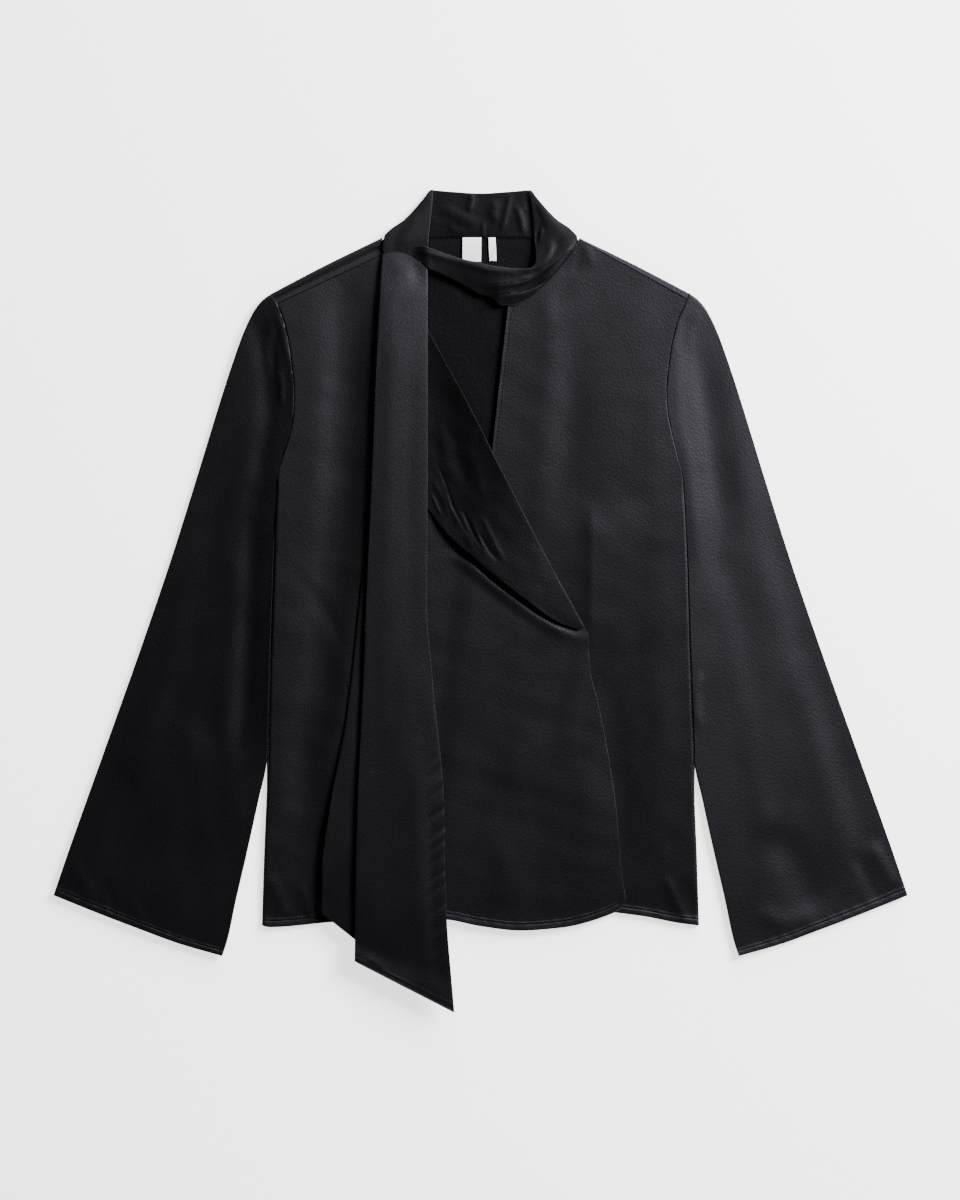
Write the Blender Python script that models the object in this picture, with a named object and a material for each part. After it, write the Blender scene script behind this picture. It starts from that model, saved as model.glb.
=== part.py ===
"""A tie neck blouse in black satin, laid out flat on its back.

Metres, +Z up, at real size. The blouse rests on the plane z = 0 with its collar towards +Y and its front facing up.
Left and right are the wearer's, so the right sleeve lies at -X. Tables are in millimetres, measured from the middle
of the laid-out garment, and a length that has no unit in its name is in millimetres too.
"""

from collections import namedtuple

import bpy
import numpy as np

MM = 0.001

# Cloth and the gaps between its layers
CLOTH = 1.2
SCARF = 1.6
LABEL = 1.0
SEAM = 0.3
LAP = 0.5
ARMHOLE_GAP = 1.8
AIR = 2.0
BACK_TOP = CLOTH
FRONT_RIM = BACK_TOP + SEAM
FRONT_TOP = BACK_TOP + AIR + SEAM + CLOTH
LAP_RISE = CLOTH + LAP

# Folded edges: how wide the roll is, and where its points stand as shares of that width
ROLL = 2.6
ROLL_STEPS = (0.0, 0.12, 0.45, 1.0)
HEM_WIDTH = 8.0
HEM_STEP = 0.6
HEM_RISE = 0.5

# How many points each kind of piece has along and across
BODY_ROWS = 22
BODY_COLUMNS = 9
WRAP_COLUMNS = 15
SLEEVE_RINGS = 14
SLEEVE_COLUMNS = 9
RIBBON_ACROSS = 5

Place = namedtuple("Place", "x y")
Side = namedtuple("Side", "up right left")
Shoulder = namedtuple("Shoulder", "x fold_y")
Ribbon = namedtuple("Ribbon", "ax ay bx by az bz drop_a drop_b crown bow")
Fold = namedtuple("Fold", "x0 y0 x1 y1 width height")
Satin = namedtuple("Satin", "name colour roughness sheen")

SATIN_FACE = Satin("satin_face", (0.012, 0.012, 0.016), 0.42, 0.25)
SATIN_SCARF = Satin("satin_scarf", (0.013, 0.013, 0.017), 0.4, 0.25)
LABEL_CLOTH = Satin("label_cloth", (0.78, 0.78, 0.77), 0.8, 0.0)

# The body's side seams from the hem up to the underarm
SIDES = [
    Side(*row)
    for row in (
        # up      right    left
        (-308.5, -207.6, 207.6),
        (-246.5, -205.7, 205.7),
        (-180.0, -203.0, 203.2),
        (-140.0, -201.0, 202.6),
        (-53.7, -199.4, 199.5),
        (37.5, -196.2, 196.9),
        (115.5, -192.7, 192.6),
    )
]

# The armhole seams from the underarm up to the shoulder seam, and on to the fold of the shoulder
ARMHOLES = [
    Side(*row)
    for row in (
        # up      right    left
        (115.5, -192.7, 192.6),
        (136.0, -187.6, 187.2),
        (160.0, -180.0, 181.2),
        (180.0, -177.0, 177.4),
        (200.9, -176.5, 176.4),
        (222.0, -178.6, 178.2),
        (244.6, -181.6, 181.6),
        (266.0, -186.6, 187.2),
        (283.0, -193.0, 195.0),
        (291.6, -198.0, 198.6),
    )
]
SHOULDER_SEAM_UP = {"right": 281.5, "left": 285.5}

# The fold of the shoulder from the sleeve to the neck, the same on both sides
SHOULDER_FOLD = [Place(198.0, 291.6), Place(147.0, 318.3), Place(93.5, 344.3)]
NECK_SIDE_X = 93.5
SHOULDER_SEAM_AT_NECK_Y = {"right": 327.8, "left": 340.2}
BACK_NECK_Y = 345.0
NECK_SHARE = 0.27

HEM_BACK = [Place(-207.6, -308.5), Place(-100.0, -303.0), Place(0.0, -301.0), Place(100.0, -303.0), Place(207.6, -308.5)]
HEM_RIGHT_FRONT = [
    Place(-207.6, -308.5),
    Place(-200.0, -310.0),
    Place(-143.0, -305.4),
    Place(-76.5, -301.0),
    Place(-32.8, -302.6),
    Place(-0.5, -308.8),
    Place(37.5, -313.0),
    Place(75.5, -310.4),
    Place(113.5, -301.1),
    Place(134.4, -290.2),
    Place(137.9, -282.6),
]
HEM_LEFT_FRONT = [
    Place(-38.5, -299.0),
    Place(37.5, -296.5),
    Place(113.5, -295.4),
    Place(151.5, -299.2),
    Place(189.5, -306.3),
    Place(207.6, -308.5),
]

# The right front wraps over the left: its free edge runs up to the fastening, then slants to the neck
WRAP_EDGE = [
    Place(137.9, -282.6),
    Place(134.4, -259.8),
    Place(128.7, -195.2),
    Place(118.3, -129.7),
    Place(111.6, -97.4),
    Place(104.0, -65.1),
    Place(102.1, -31.0),
]
ROLL_LINE = [
    Place(-84.1, 321.6),
    Place(-71.7, 299.7),
    Place(-49.9, 257.0),
    Place(-10.0, 182.9),
    Place(18.5, 125.9),
    Place(45.1, 74.6),
    Place(75.5, 16.6),
    Place(102.1, -31.0),
]

# The left front's centre edge and its neckline, which the scarf laps
CENTRE_EDGE = [
    Place(-38.5, -299.0),
    Place(-19.5, -132.5),
    Place(-0.5, 38.5),
    Place(11.9, 152.5),
    Place(21.4, 238.0),
    Place(26.0, 278.5),
]
LEFT_NECKLINE = [
    Place(26.0, 278.5),
    Place(26.8, 281.2),
    Place(38.8, 284.6),
    Place(50.4, 294.6),
    Place(60.8, 304.6),
    Place(74.0, 318.6),
    Place(83.4, 331.6),
    Place(93.2, 339.6),
]

SLEEVE_OUTER = [
    Place(198.0, 291.6),
    Place(206.6, 285.5),
    Place(214.4, 276.0),
    Place(223.9, 257.0),
    Place(234.4, 228.5),
    Place(246.8, 190.5),
    Place(267.2, 124.0),
    Place(294.1, 38.5),
    Place(323.2, -47.0),
    Place(357.0, -142.0),
    Place(394.1, -246.5),
    Place(405.3, -279.6),
]
SLEEVE_INNER = [
    Place(192.7, 115.5),
    Place(196.4, 37.5),
    Place(199.6, -53.7),
    Place(201.6, -120.0),
    Place(202.6, -150.0),
    Place(210.6, -189.5),
    Place(223.2, -246.5),
    Place(232.0, -284.5),
    Place(240.2, -322.5),
    Place(245.0, -337.3),
]
CUFF = [Place(405.3, -279.6), Place(360.5, -297.6), Place(323.0, -311.9), Place(284.5, -326.0), Place(245.0, -337.3)]

# The largest soft folds of each piece: a ridge or, where the height is below nothing, a trough
RIGHT_FRONT_FOLDS = [
    Fold(*row)
    for row in (
        # x0   y0     x1    y1   width height
        (96, -37, 62, -34, 9, 1.6),
        (62, -34, 28, -14, 11, 2.6),
        (28, -14, -8, 14, 13, 2.8),
        (-8, 14, -44, 46, 15, 1.6),
        (-172, 180, -176, -230, 16, 0.8),
        (30, -60, 60, -270, 30, 0.7),
    )
]
LEFT_FRONT_FOLDS = [
    Fold(*row)
    for row in (
        # x0   y0   x1    y1   width height
        (78, 300, 88, 60, 22, 0.9),
        (118, 20, 128, -240, 24, 0.7),
        (160, 250, 176, -200, 22, 0.6),
        (56, 275, 50, 120, 12, -0.7),
    )
]
SLEEVE_FOLDS = [
    Fold(*row)
    for row in (
        # x0   y0   x1    y1   width height
        (222, 240, 290, -120, 18, 0.9),
        (196, 210, 218, -60, 13, -1.1),
        (262, 60, 330, -250, 24, 0.8),
        (232, -150, 262, -300, 20, 0.7),
    )
]
BACK_STRETCH = [
    Place(-90.5, 347.6),
    Place(-72.2, 360.6),
    Place(-55.0, 379.6),
    Place(-47.0, 389.8),
    Place(-29.0, 388.4),
    Place(0.0, 386.7),
    Place(29.0, 388.4),
    Place(47.0, 389.8),
    Place(55.0, 379.6),
    Place(72.2, 360.6),
    Place(90.5, 347.6),
]

# Stretches of the scarf and the turned-back edge, as rows along each one. Edge a and edge b are its two long edges,
# az and bz the heights of its upper face there, drop how far that face rolls down at the edge, crown how far it
# stands up between them, and bow how far the row's middle reaches ahead of its ends.
RIGHT_NECK = [
    Ribbon(*row)
    for row in (
        # ax    ay     bx     by    az   bz   drop_a drop_b crown bow
        (-47.6, 389.6, -44.6, 389.4, 4.6, 4.7, 2.4, 0.3, 0.0, 0),
        (-55.0, 380.5, -45.4, 379.5, 4.7, 4.9, 2.5, 0.4, 0.1, 0),
        (-72.2, 361.5, -47.0, 362.0, 5.0, 5.1, 2.8, 0.5, 0.4, 0),
        (-85.4, 352.0, -48.3, 350.5, 5.3, 5.3, 3.1, 0.5, 0.6, 0),
        (-91.3, 345.6, -49.3, 341.0, 5.9, 5.5, 2.6, 0.5, 0.5, 0),
        (-92.6, 338.0, -50.2, 331.0, 6.6, 5.7, 1.2, 0.5, 0.2, 0),
        (-92.9, 329.6, -51.0, 320.8, 7.0, 6.0, 0.6, 0.5, 0.0, 0),
    )
]
REAR_END = [
    Ribbon(*row)
    for row in (
        # ax    ay     bx     by    az   bz   drop_a drop_b crown bow
        (-93.0, 328.9, -54.0, 320.6, 6.8, 6.8, 0.6, 0.3, 0.0, 0),
        (-97.0, 285.0, -64.0, 285.0, 7.0, 7.0, 0.6, 0.3, 0.1, 0),
        (-100.4, 210.0, -67.0, 210.0, 7.0, 7.0, 0.6, 0.3, 0.1, 0),
        (-103.8, 114.5, -68.0, 114.5, 7.0, 7.0, 0.6, 0.3, 0.1, 0),
        (-114.5, 0.5, -74.0, 0.5, 7.0, 7.0, 0.6, 0.3, 0.1, 0),
        (-127.5, -113.5, -80.0, -113.5, 7.0, 7.0, 0.6, 0.3, 0.1, 0),
        (-143.9, -201.5, -84.0, -201.5, 7.0, 7.0, 0.6, 0.3, 0.1, 0),
        (-150.3, -253.2, -82.0, -260.0, 7.0, 7.0, 0.6, 0.3, 0.1, 0),
        (-150.3, -296.0, -80.0, -352.0, 6.6, 6.6, 0.6, 0.3, 0.0, 0),
    )
]
FRONT_END = [
    Ribbon(*row)
    for row in (
        # ax    ay     bx     by     az    bz   drop_a drop_b crown bow
        (-92.6, 327.3, -50.2, 313.4, 9.0, 9.2, 0.8, 0.8, 0.6, 8),
        (-94.3, 305.0, -49.9, 298.0, 9.2, 9.8, 0.8, 0.8, 0.7, 3),
        (-95.5, 285.5, -49.9, 285.5, 9.3, 10.2, 0.8, 0.8, 0.8, 0),
        (-99.3, 209.5, -49.9, 209.5, 9.3, 10.2, 0.8, 0.8, 0.8, 0),
        (-103.1, 114.5, -49.9, 114.5, 9.3, 10.2, 0.8, 0.8, 0.8, 0),
        (-108.3, 0.5, -50.7, 0.5, 9.3, 9.8, 0.8, 0.8, 0.9, 0),
        (-111.2, -81.2, -44.6, -81.2, 9.3, 9.6, 0.8, 0.8, 1.0, 0),
        (-116.4, -189.5, -34.6, -189.5, 9.3, 9.6, 0.8, 0.8, 1.0, 0),
        (-118.6, -280.0, -32.6, -286.0, 9.2, 9.5, 0.8, 0.8, 0.9, 0),
        (-119.0, -341.5, -24.6, -390.0, 8.6, 8.6, 0.8, 0.8, 0.6, 0),
    )
]
LEFT_NECK = [
    Ribbon(*row)
    for row in (
        # ax    ay     bx     by    az   bz   drop_a drop_b crown bow
        (48.8, 388.4, 45.6, 388.2, 4.4, 4.5, 2.3, 0.3, 0.0, 0),
        (55.0, 380.5, 47.4, 379.5, 4.6, 4.7, 2.5, 0.4, 0.1, 0),
        (72.5, 361.5, 49.2, 362.5, 4.8, 5.0, 2.9, 0.5, 0.4, 0),
        (85.6, 352.0, 50.2, 350.5, 5.4, 5.4, 3.4, 0.5, 0.6, 0),
        (92.0, 343.6, 51.2, 340.0, 6.6, 5.8, 1.4, 0.5, 0.6, 0),
        (89.0, 334.0, 51.8, 330.0, 7.0, 6.2, 1.2, 0.5, 0.8, 0),
        (80.0, 320.6, 52.0, 322.4, 7.1, 6.6, 1.2, 0.5, 1.1, 0),
        (68.4, 306.8, 49.8, 317.2, 7.2, 7.0, 1.2, 0.5, 1.4, 0),
        (56.2, 294.6, 45.6, 315.0, 7.2, 7.3, 1.2, 0.6, 1.7, 0),
        (42.4, 283.8, 37.6, 314.6, 7.2, 7.4, 1.2, 0.6, 1.9, 0),
        (30.0, 279.6, 28.4, 315.2, 7.2, 7.4, 1.2, 0.6, 1.9, 0),
        (19.6, 278.0, 18.6, 316.3, 7.2, 7.3, 1.2, 0.6, 1.7, 0),
    )
]
CROSSING = [
    Ribbon(*row)
    for row in (
        # ax    ay     bx     by    az   bz   drop_a drop_b crown bow
        (15.8, 285.6, 18.2, 316.4, 6.9, 7.2, 0.6, 0.6, 1.4, 0),
        (9.5, 287.6, 9.0, 317.8, 6.2, 6.6, 0.6, 0.6, 1.2, 0),
        (-1.6, 290.4, -3.0, 320.6, 5.6, 6.0, 0.6, 0.6, 0.9, 0),
        (-14.5, 298.0, -17.6, 323.8, 5.2, 5.8, 0.6, 0.6, 0.7, 0),
        (-30.0, 306.0, -33.0, 328.8, 6.2, 7.0, 0.6, 0.6, 0.5, 0),
        (-43.0, 312.0, -44.5, 332.8, 8.3, 8.5, 0.6, 0.6, 0.4, 0),
        (-50.3, 314.8, -51.0, 335.0, 9.3, 9.2, 0.6, 0.6, 0.3, 0),
        (-60.5, 324.0, -60.3, 337.0, 9.6, 9.4, 0.5, 0.6, 0.2, 0),
        (-66.6, 329.8, -66.2, 335.6, 9.6, 9.5, 0.4, 0.5, 0.1, 0),
    )
]
REVERS = [
    Ribbon(*row)
    for row in (
        # ax    ay     bx     by    az   bz   drop_a drop_b crown bow
        (98.6, -25.4, 93.0, -28.0, 8.8, 8.8, 0.9, 0.1, 0.0, 0),
        (86.0, -2.0, 74.6, -18.4, 8.8, 9.4, 1.1, 0.3, 0.3, 0),
        (65.0, 36.6, 46.4, 2.6, 8.7, 10.2, 1.2, 0.4, 0.4, 0),
        (45.0, 74.8, 22.0, 22.2, 8.7, 10.6, 1.2, 0.4, 0.5, 0),
        (18.5, 126.0, -6.0, 45.4, 8.7, 10.4, 1.2, 0.4, 0.5, 0),
        (-10.0, 183.0, -33.5, 69.6, 7.7, 9.2, 1.2, 0.4, 0.4, 0),
        (-31.0, 222.0, -46.0, 82.0, 6.6, 7.9, 1.1, 0.4, 0.2, 0),
        (-48.6, 254.5, -56.0, 98.0, 6.5, 7.0, 1.0, 0.3, 0.0, 0),
        (-56.0, 268.5, -61.0, 130.0, 6.4, 6.8, 0.9, 0.3, 0.0, 0),
    )
]
GATHERS = (0.2, 0.52, 0.84)
GATHER_WIDTH = 0.12

# The labels sewn into the back of the neck: their middle, width and length
Tab = namedtuple("Tab", "name x top width length")
LABELS = [Tab("neck_label", -8.4, 344.4, 17.8, 23.0), Tab("size_label", 11.0, 344.4, 6.8, 22.4)]


def clear_scene():
    """Removes whatever the scene starts with."""
    for obj in list(bpy.data.objects):
        bpy.data.objects.remove(obj)


def satin(kind):
    """The material of one kind of cloth."""
    material = bpy.data.materials.new(kind.name)
    material.use_nodes = True
    shader = material.node_tree.nodes["Principled BSDF"]
    shader.inputs["Base Color"].default_value = (*kind.colour, 1.0)
    shader.inputs["Roughness"].default_value = kind.roughness
    shader.inputs["Metallic"].default_value = 0.0
    shader.inputs["Sheen Weight"].default_value = kind.sheen
    return material


def step_up(value, start, end):
    """0 before start, 1 after end, and a smooth rise between."""
    share = np.clip((value - start) / (end - start), 0.0, 1.0)
    return share * share * (3.0 - 2.0 * share)


def monotone(at, values):
    """A smooth function through values at the places at, which never swings past them."""
    at = np.array(at, float)
    values = np.array(values, float)
    gaps = np.diff(at)[:, None]
    rise = np.diff(values, axis=0) / gaps
    before, after = 2 * gaps[1:] + gaps[:-1], gaps[1:] + 2 * gaps[:-1]
    same_way = rise[:-1] * rise[1:] > 0
    first, second = (np.where(same_way, part, 1.0) for part in (rise[:-1], rise[1:]))
    slope = np.vstack([rise[:1], np.where(same_way, (before + after) / (before / first + after / second), 0), rise[-1:]])

    def value(share):
        share = np.clip(np.asarray(share, float), at[0], at[-1])
        k = np.clip(np.searchsorted(at, share, side="right") - 1, 0, len(gaps) - 1)
        width = gaps[k]
        t = ((share - at[k]) / width[..., 0])[..., None]
        return (
            (1 + 2 * t) * (1 - t) ** 2 * values[k]
            + t * (1 - t) ** 2 * width * slope[k]
            + t * t * (3 - 2 * t) * values[k + 1]
            + t * t * (t - 1) * width * slope[k + 1]
        )

    return value


def through(points):
    """A smooth curve through the points, as a function of the share of its length."""
    points = np.array(points, float)
    lengths = np.linalg.norm(np.diff(points, axis=0), axis=1)
    at = np.concatenate([[0.0], np.cumsum(lengths)]) / lengths.sum()
    return monotone(at, points)


def joined(*parts):
    """One curve from several: each part is a curve and the share at which it ends."""

    def place(share):
        share = np.asarray(share, float)
        found = np.zeros((*share.shape, 2))
        start = 0.0
        for curve, end in parts:
            here = (share >= start) & (share <= end)
            found[here] = curve((share[here] - start) / (end - start))
            start = end
        return found

    return place


def patch(bottom, top, left, right):
    """The surface between four edge curves, as a function of the shares across and up."""

    def place(across, up):
        u, v = across[..., None], up[..., None]
        zero, one = np.zeros(()), np.ones(())
        corners = (1 - u) * ((1 - v) * bottom(zero) + v * top(zero)) + u * ((1 - v) * bottom(one) + v * top(one))
        return (1 - v) * bottom(across) + v * top(across) + (1 - u) * left(up) + u * right(up) - corners

    return place


def moved(points, x=0.0, y=0.0):
    """The same points, shifted."""
    return [Place(p.x + x, p.y + y) for p in points]


def mirrored(points):
    """The same points on the wearer's right side."""
    return [Place(-p.x, p.y) for p in points]


def side_line(side, top_up):
    """The side seam and the armhole of one side as one line, from the hem to the given height."""
    rows = SIDES + [row for row in ARMHOLES[1:] if row.up < top_up - 2.0]
    line = [Place(getattr(row, side), row.up) for row in rows]
    heights = [row.up for row in ARMHOLES]
    end_x = np.interp(top_up, heights, [getattr(row, side) for row in ARMHOLES])
    return line + [Place(float(end_x), top_up)]


def fold_heights(folds, x, y):
    """How far the soft folds raise or lower the cloth at each place."""
    total = np.zeros_like(x)
    for fold in folds:
        run_x, run_y = fold.x1 - fold.x0, fold.y1 - fold.y0
        length_2 = run_x**2 + run_y**2
        share = ((x - fold.x0) * run_x + (y - fold.y0) * run_y) / length_2
        off = ((x - fold.x0) * run_y - (y - fold.y0) * run_x) / np.sqrt(length_2)
        fade = step_up(share, -0.12, 0.12) * step_up(1.0 - share, -0.12, 0.12)
        total += fold.height * fade * np.exp(-((off / fold.width) ** 2))
    return total


def front_level(x, y, folds):
    """Height of the upper face of a front that lies on the back, closer to it at the hem."""
    return FRONT_TOP - 1.2 * step_up(-y, 262.0, 300.0) + fold_heights(folds, x, y)


def roll(distance, width=ROLL):
    """The rounding of a folded edge: 0 at the edge itself, 1 from one roll width inwards."""
    inward = np.clip(distance / width, 0.0, 1.0)
    return np.sqrt(1.0 - (1.0 - inward) ** 2)


def shares(width, count, rolled_start, rolled_end):
    """Shares across a row: close together over a rolled edge, and even between."""
    steps = np.array(ROLL_STEPS) * ROLL / width
    start = steps if rolled_start else np.array([0.0])
    end = 1.0 - steps[::-1] if rolled_end else np.array([1.0])
    return np.concatenate([start, np.linspace(start[-1], end[0], count + 2)[1:-1], end])


def even_hem(curve, length, other_length):
    """The same curve, run so that a hem as deep as the one on the other side's length is as deep here."""
    there, here = HEM_WIDTH / other_length, HEM_WIDTH / length
    return lambda share: curve(np.interp(share, [0.0, there, 1.0], [0.0, here, 1.0]))


def rows_with_hem(length, count):
    """Shares up a panel, with two rows close together at the top of its hem."""
    hem = np.array([0.0, HEM_WIDTH - HEM_STEP, HEM_WIDTH]) / length
    return np.concatenate([hem, np.linspace(hem[-1], 1.0, count - 1)[1:]])


def sheet_normals(points, facing):
    """Unit normals of a lattice of points, on the side given by facing."""
    normal = np.cross(np.gradient(points, axis=1), np.gradient(points, axis=0))
    normal /= np.maximum(np.linalg.norm(normal, axis=2, keepdims=True), 1e-9)
    return normal * np.sign(normal[..., 2].sum() * facing)


def ring_normals(points):
    """Unit normals away from the inside of rings that lie pressed flat, each in the upright plane along its layers."""
    half = points.shape[1] // 2 + 1
    layer = np.gradient(points[:, :half, :2], axis=1)
    layer = np.concatenate([layer, layer[:, -2:0:-1]], axis=1)
    layer /= np.linalg.norm(layer, axis=2, keepdims=True)
    step = np.roll(points, -1, axis=1) - np.roll(points, 1, axis=1)
    ahead = (step[..., :2] * layer).sum(axis=2)
    normal = np.dstack([-layer * step[..., 2:], ahead])
    return normal / np.linalg.norm(normal, axis=2, keepdims=True)


def wall(name, outer, thickness, kind, closed=False, raised=None, lowest=None, kept=None, facing=1.0):
    """A wall of cloth from a lattice of outer points: faces outside and inside, and rims along every open edge.

    raised lifts outer points off a plain inside, lowest is a height that no inner point goes below, kept marks the
    cells of the lattice that the piece has, and facing is -1 where the outside of the first rows looks down.
    """
    out = ring_normals(outer) if closed else sheet_normals(outer, facing)
    inner = outer - out * thickness
    if lowest is not None:
        inner[..., 2] = np.maximum(inner[..., 2], lowest)
    if raised is not None:
        outer = outer + out * raised[..., None]
    rows, columns = outer.shape[:2]
    across = columns if closed else columns - 1
    if kept is None:
        kept = np.ones((rows - 1, across), bool)
    count = rows * columns

    def corner(i, j):
        return i * columns + j % columns

    faces = []
    sides = ((-1, 0, 0, 0, 0, 1), (0, 1, 0, 1, 1, 1), (1, 0, 1, 1, 1, 0), (0, -1, 1, 0, 0, 0))
    for i in range(rows - 1):
        for j in range(across):
            if not kept[i, j]:
                continue
            cell = [corner(i, j), corner(i, j + 1), corner(i + 1, j + 1), corner(i + 1, j)]
            faces.append(cell)
            faces.append([count + k for k in reversed(cell)])
            for down, right, i0, j0, i1, j1 in sides:
                near_i, near_j = i + down, (j + right) % across if closed else j + right
                if 0 <= near_i < rows - 1 and 0 <= near_j < across and kept[near_i, near_j]:
                    continue
                a, b = corner(i + i0, j + j0), corner(i + i1, j + j1)
                faces.append([b, a, count + a, count + b])
    points = np.concatenate([outer.reshape(-1, 3), inner.reshape(-1, 3)]) * MM
    return add_solid(name, points, faces, kind)


def add_solid(name, points, faces, kind):
    """Puts a closed mesh in the scene with its material, faces outwards and shaded smooth."""
    used = sorted({k for face in faces for k in face})
    place = {k: n for n, k in enumerate(used)}
    faces = [[place[k] for k in face] for face in faces]
    points = points[used]
    volume = 0.0
    for face in faces:
        for b, c in zip(face[1:-1], face[2:]):
            volume += np.dot(points[face[0]], np.cross(points[b], points[c]))
    if volume < 0:
        faces = [face[::-1] for face in faces]
    mesh = bpy.data.meshes.new(name)
    mesh.from_pydata(points.tolist(), [], faces)
    mesh.materials.append(bpy.data.materials[kind.name])
    mesh.shade_smooth()
    mesh.set_sharp_from_angle(angle=np.radians(40))
    obj = bpy.data.objects.new(name, mesh)
    bpy.context.scene.collection.objects.link(obj)
    return obj


def shoulder_seam(side):
    """The line where a front meets the back, from the armhole to the neck."""
    up = SHOULDER_SEAM_UP[side]
    armhole_end = side_line(side, up)[-1]
    neck_x = -NECK_SIDE_X if side == "right" else NECK_SIDE_X
    return through([armhole_end, Place(neck_x, SHOULDER_SEAM_AT_NECK_Y[side])])


def front_top_edge(side):
    """The top edge of a front along its shoulder seam, from the armhole to the neck, a seam gap below that line."""
    end = shoulder_seam(side)(np.ones(()))
    return through([side_line(side, SHOULDER_SEAM_UP[side] - 1.5 * SEAM)[-1], Place(end[0], end[1] - 1.5 * SEAM)])


def back_panel():
    """The back: flat underneath, its shoulders rolled over to the seam on the front."""
    fold = {"left": through(SHOULDER_FOLD), "right": through(mirrored(SHOULDER_FOLD))}
    half = FRONT_TOP / 2.0
    inset = half / np.cos(np.radians(26.7))

    def flat_edge(side):
        points = SHOULDER_FOLD if side == "left" else mirrored(SHOULDER_FOLD)
        return through([side_line(side, points[0].y - inset)[-1], *moved(points[1:], y=-inset)])

    neck = through([Place(-NECK_SIDE_X, BACK_NECK_Y - inset), Place(-NECK_SIDE_X + 1.5, BACK_NECK_Y), Place(NECK_SIDE_X - 1.5, BACK_NECK_Y), Place(NECK_SIDE_X, BACK_NECK_Y - inset)])
    left_shoulder = flat_edge("left")
    top = joined(
        (flat_edge("right"), NECK_SHARE), (neck, 1 - NECK_SHARE), (lambda share: left_shoulder(1.0 - share), 1.0)
    )
    bottom = joined((through(HEM_BACK), 1.0))
    place = patch(bottom, top, through(side_line("right", 291.6 - inset)), through(side_line("left", 291.6 - inset)))
    across = np.concatenate(
        [np.linspace(0, NECK_SHARE, 6), np.linspace(NECK_SHARE, 1 - NECK_SHARE, 8)[1:-1], np.linspace(1 - NECK_SHARE, 1, 6)]
    )
    up = rows_with_hem(650.0, BODY_ROWS - 3)
    u, v = np.meshgrid(across, up)
    flat = np.dstack([place(u, v), np.zeros_like(u)])
    turned = []
    for angle in np.radians((36, 72, 108, 144, 180)):
        turned.append((half - half * np.sin(angle), half - half * np.cos(angle)))
    turned += [(None, FRONT_TOP), (None, FRONT_TOP)]
    strips = []
    for number, (away, height) in enumerate(turned):
        row = flat[-1].copy()
        for j, share in enumerate(across):
            side = "right" if share < 0.5 else "left"
            along = share / NECK_SHARE if side == "right" else (1.0 - share) / NECK_SHARE
            if along > 1.0 + 1e-9:
                continue
            edge, seam = fold[side](min(along, 1.0)), shoulder_seam(side)(min(along, 1.0))
            width = np.linalg.norm(seam - edge)
            share_in = min(away / 0.893 / width, 1.0) if away is not None else (0.75, 1.0)[number - 5]
            rest = max(share_in, half / 0.893 / width)
            share_in = share_in if away is not None else rest
            row[j, :2] = edge + (seam - edge) * share_in
            row[j, 2] = height
        strips.append(row)
    outer = np.concatenate([flat, np.array(strips)])
    kept = np.ones((outer.shape[0] - 1, outer.shape[1] - 1), bool)
    shoulder = (across[:-1] < NECK_SHARE - 1e-9) | (across[1:] > 1 - NECK_SHARE + 1e-9)
    kept[len(up) - 1 :] = shoulder
    return wall("back_panel", outer, CLOTH, SATIN_FACE, kept=kept, facing=-1.0)


def seam_rim(y, level):
    """Height of a front's side edge: down on the back at the side seam, and up beside the sleeve at the armhole."""
    return FRONT_RIM + (level - 0.8 - FRONT_RIM) * step_up(y, 112.0, 126.0)


def front_panel(name, place, rolled_side, columns, level, hem_length):
    """A front between its edges, rolled down to the side seam on one side."""
    up = rows_with_hem(hem_length, BODY_ROWS)
    rows = []
    for v in up:
        ends = place(np.array([0.0, 1.0]), np.array([v, v]))
        width = np.linalg.norm(ends[1] - ends[0])
        across = shares(width, columns, rolled_side == "start", rolled_side == "end")
        xy = place(across, np.full_like(across, v))
        top = level(xy[:, 0], xy[:, 1])
        from_seam = across * width if rolled_side == "start" else (1.0 - across) * width
        rim = seam_rim(xy[:, 1], top)
        z = rim + (top - rim) * roll(from_seam)
        rows.append(np.column_stack([xy, z]))
    outer = np.array(rows)
    raised = np.zeros(outer.shape[:2])
    raised[:2] = HEM_RISE * (outer[:2, :, 2] > FRONT_RIM + CLOTH)
    return wall(name, outer, CLOTH, SATIN_FACE, raised=raised, lowest=FRONT_RIM)


def left_front():
    """The left front, which lies under the wrap: centre edge, neckline, shoulder seam, armhole and side seam."""
    seam = front_top_edge("left")
    neckline = through([CENTRE_EDGE[-1], *LEFT_NECKLINE[1:-1], Place(*seam(np.ones(())))])
    top = joined((neckline, 0.45), (lambda share: seam(1.0 - share), 1.0))
    side = side_line("left", SHOULDER_SEAM_UP["left"] - 1.5 * SEAM)
    place = patch(through(HEM_LEFT_FRONT), top, through(CENTRE_EDGE), through(side))
    level = lambda x, y: front_level(x, y, LEFT_FRONT_FOLDS)
    return front_panel("left_front", place, "end", BODY_COLUMNS, level, 620.0)


def lap_height(x, y):
    """How far the right front is lifted by the left front under it."""
    edge = np.array(CENTRE_EDGE, float)
    edge_x = np.interp(y, edge[:, 1], edge[:, 0])
    hem = HEM_RISE * step_up(-y, 266.0, 284.0)
    under = fold_heights(LEFT_FRONT_FOLDS, x, y)
    return (LAP_RISE + hem + under) * step_up(x, edge_x - 34.0, edge_x - 6.0)


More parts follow.
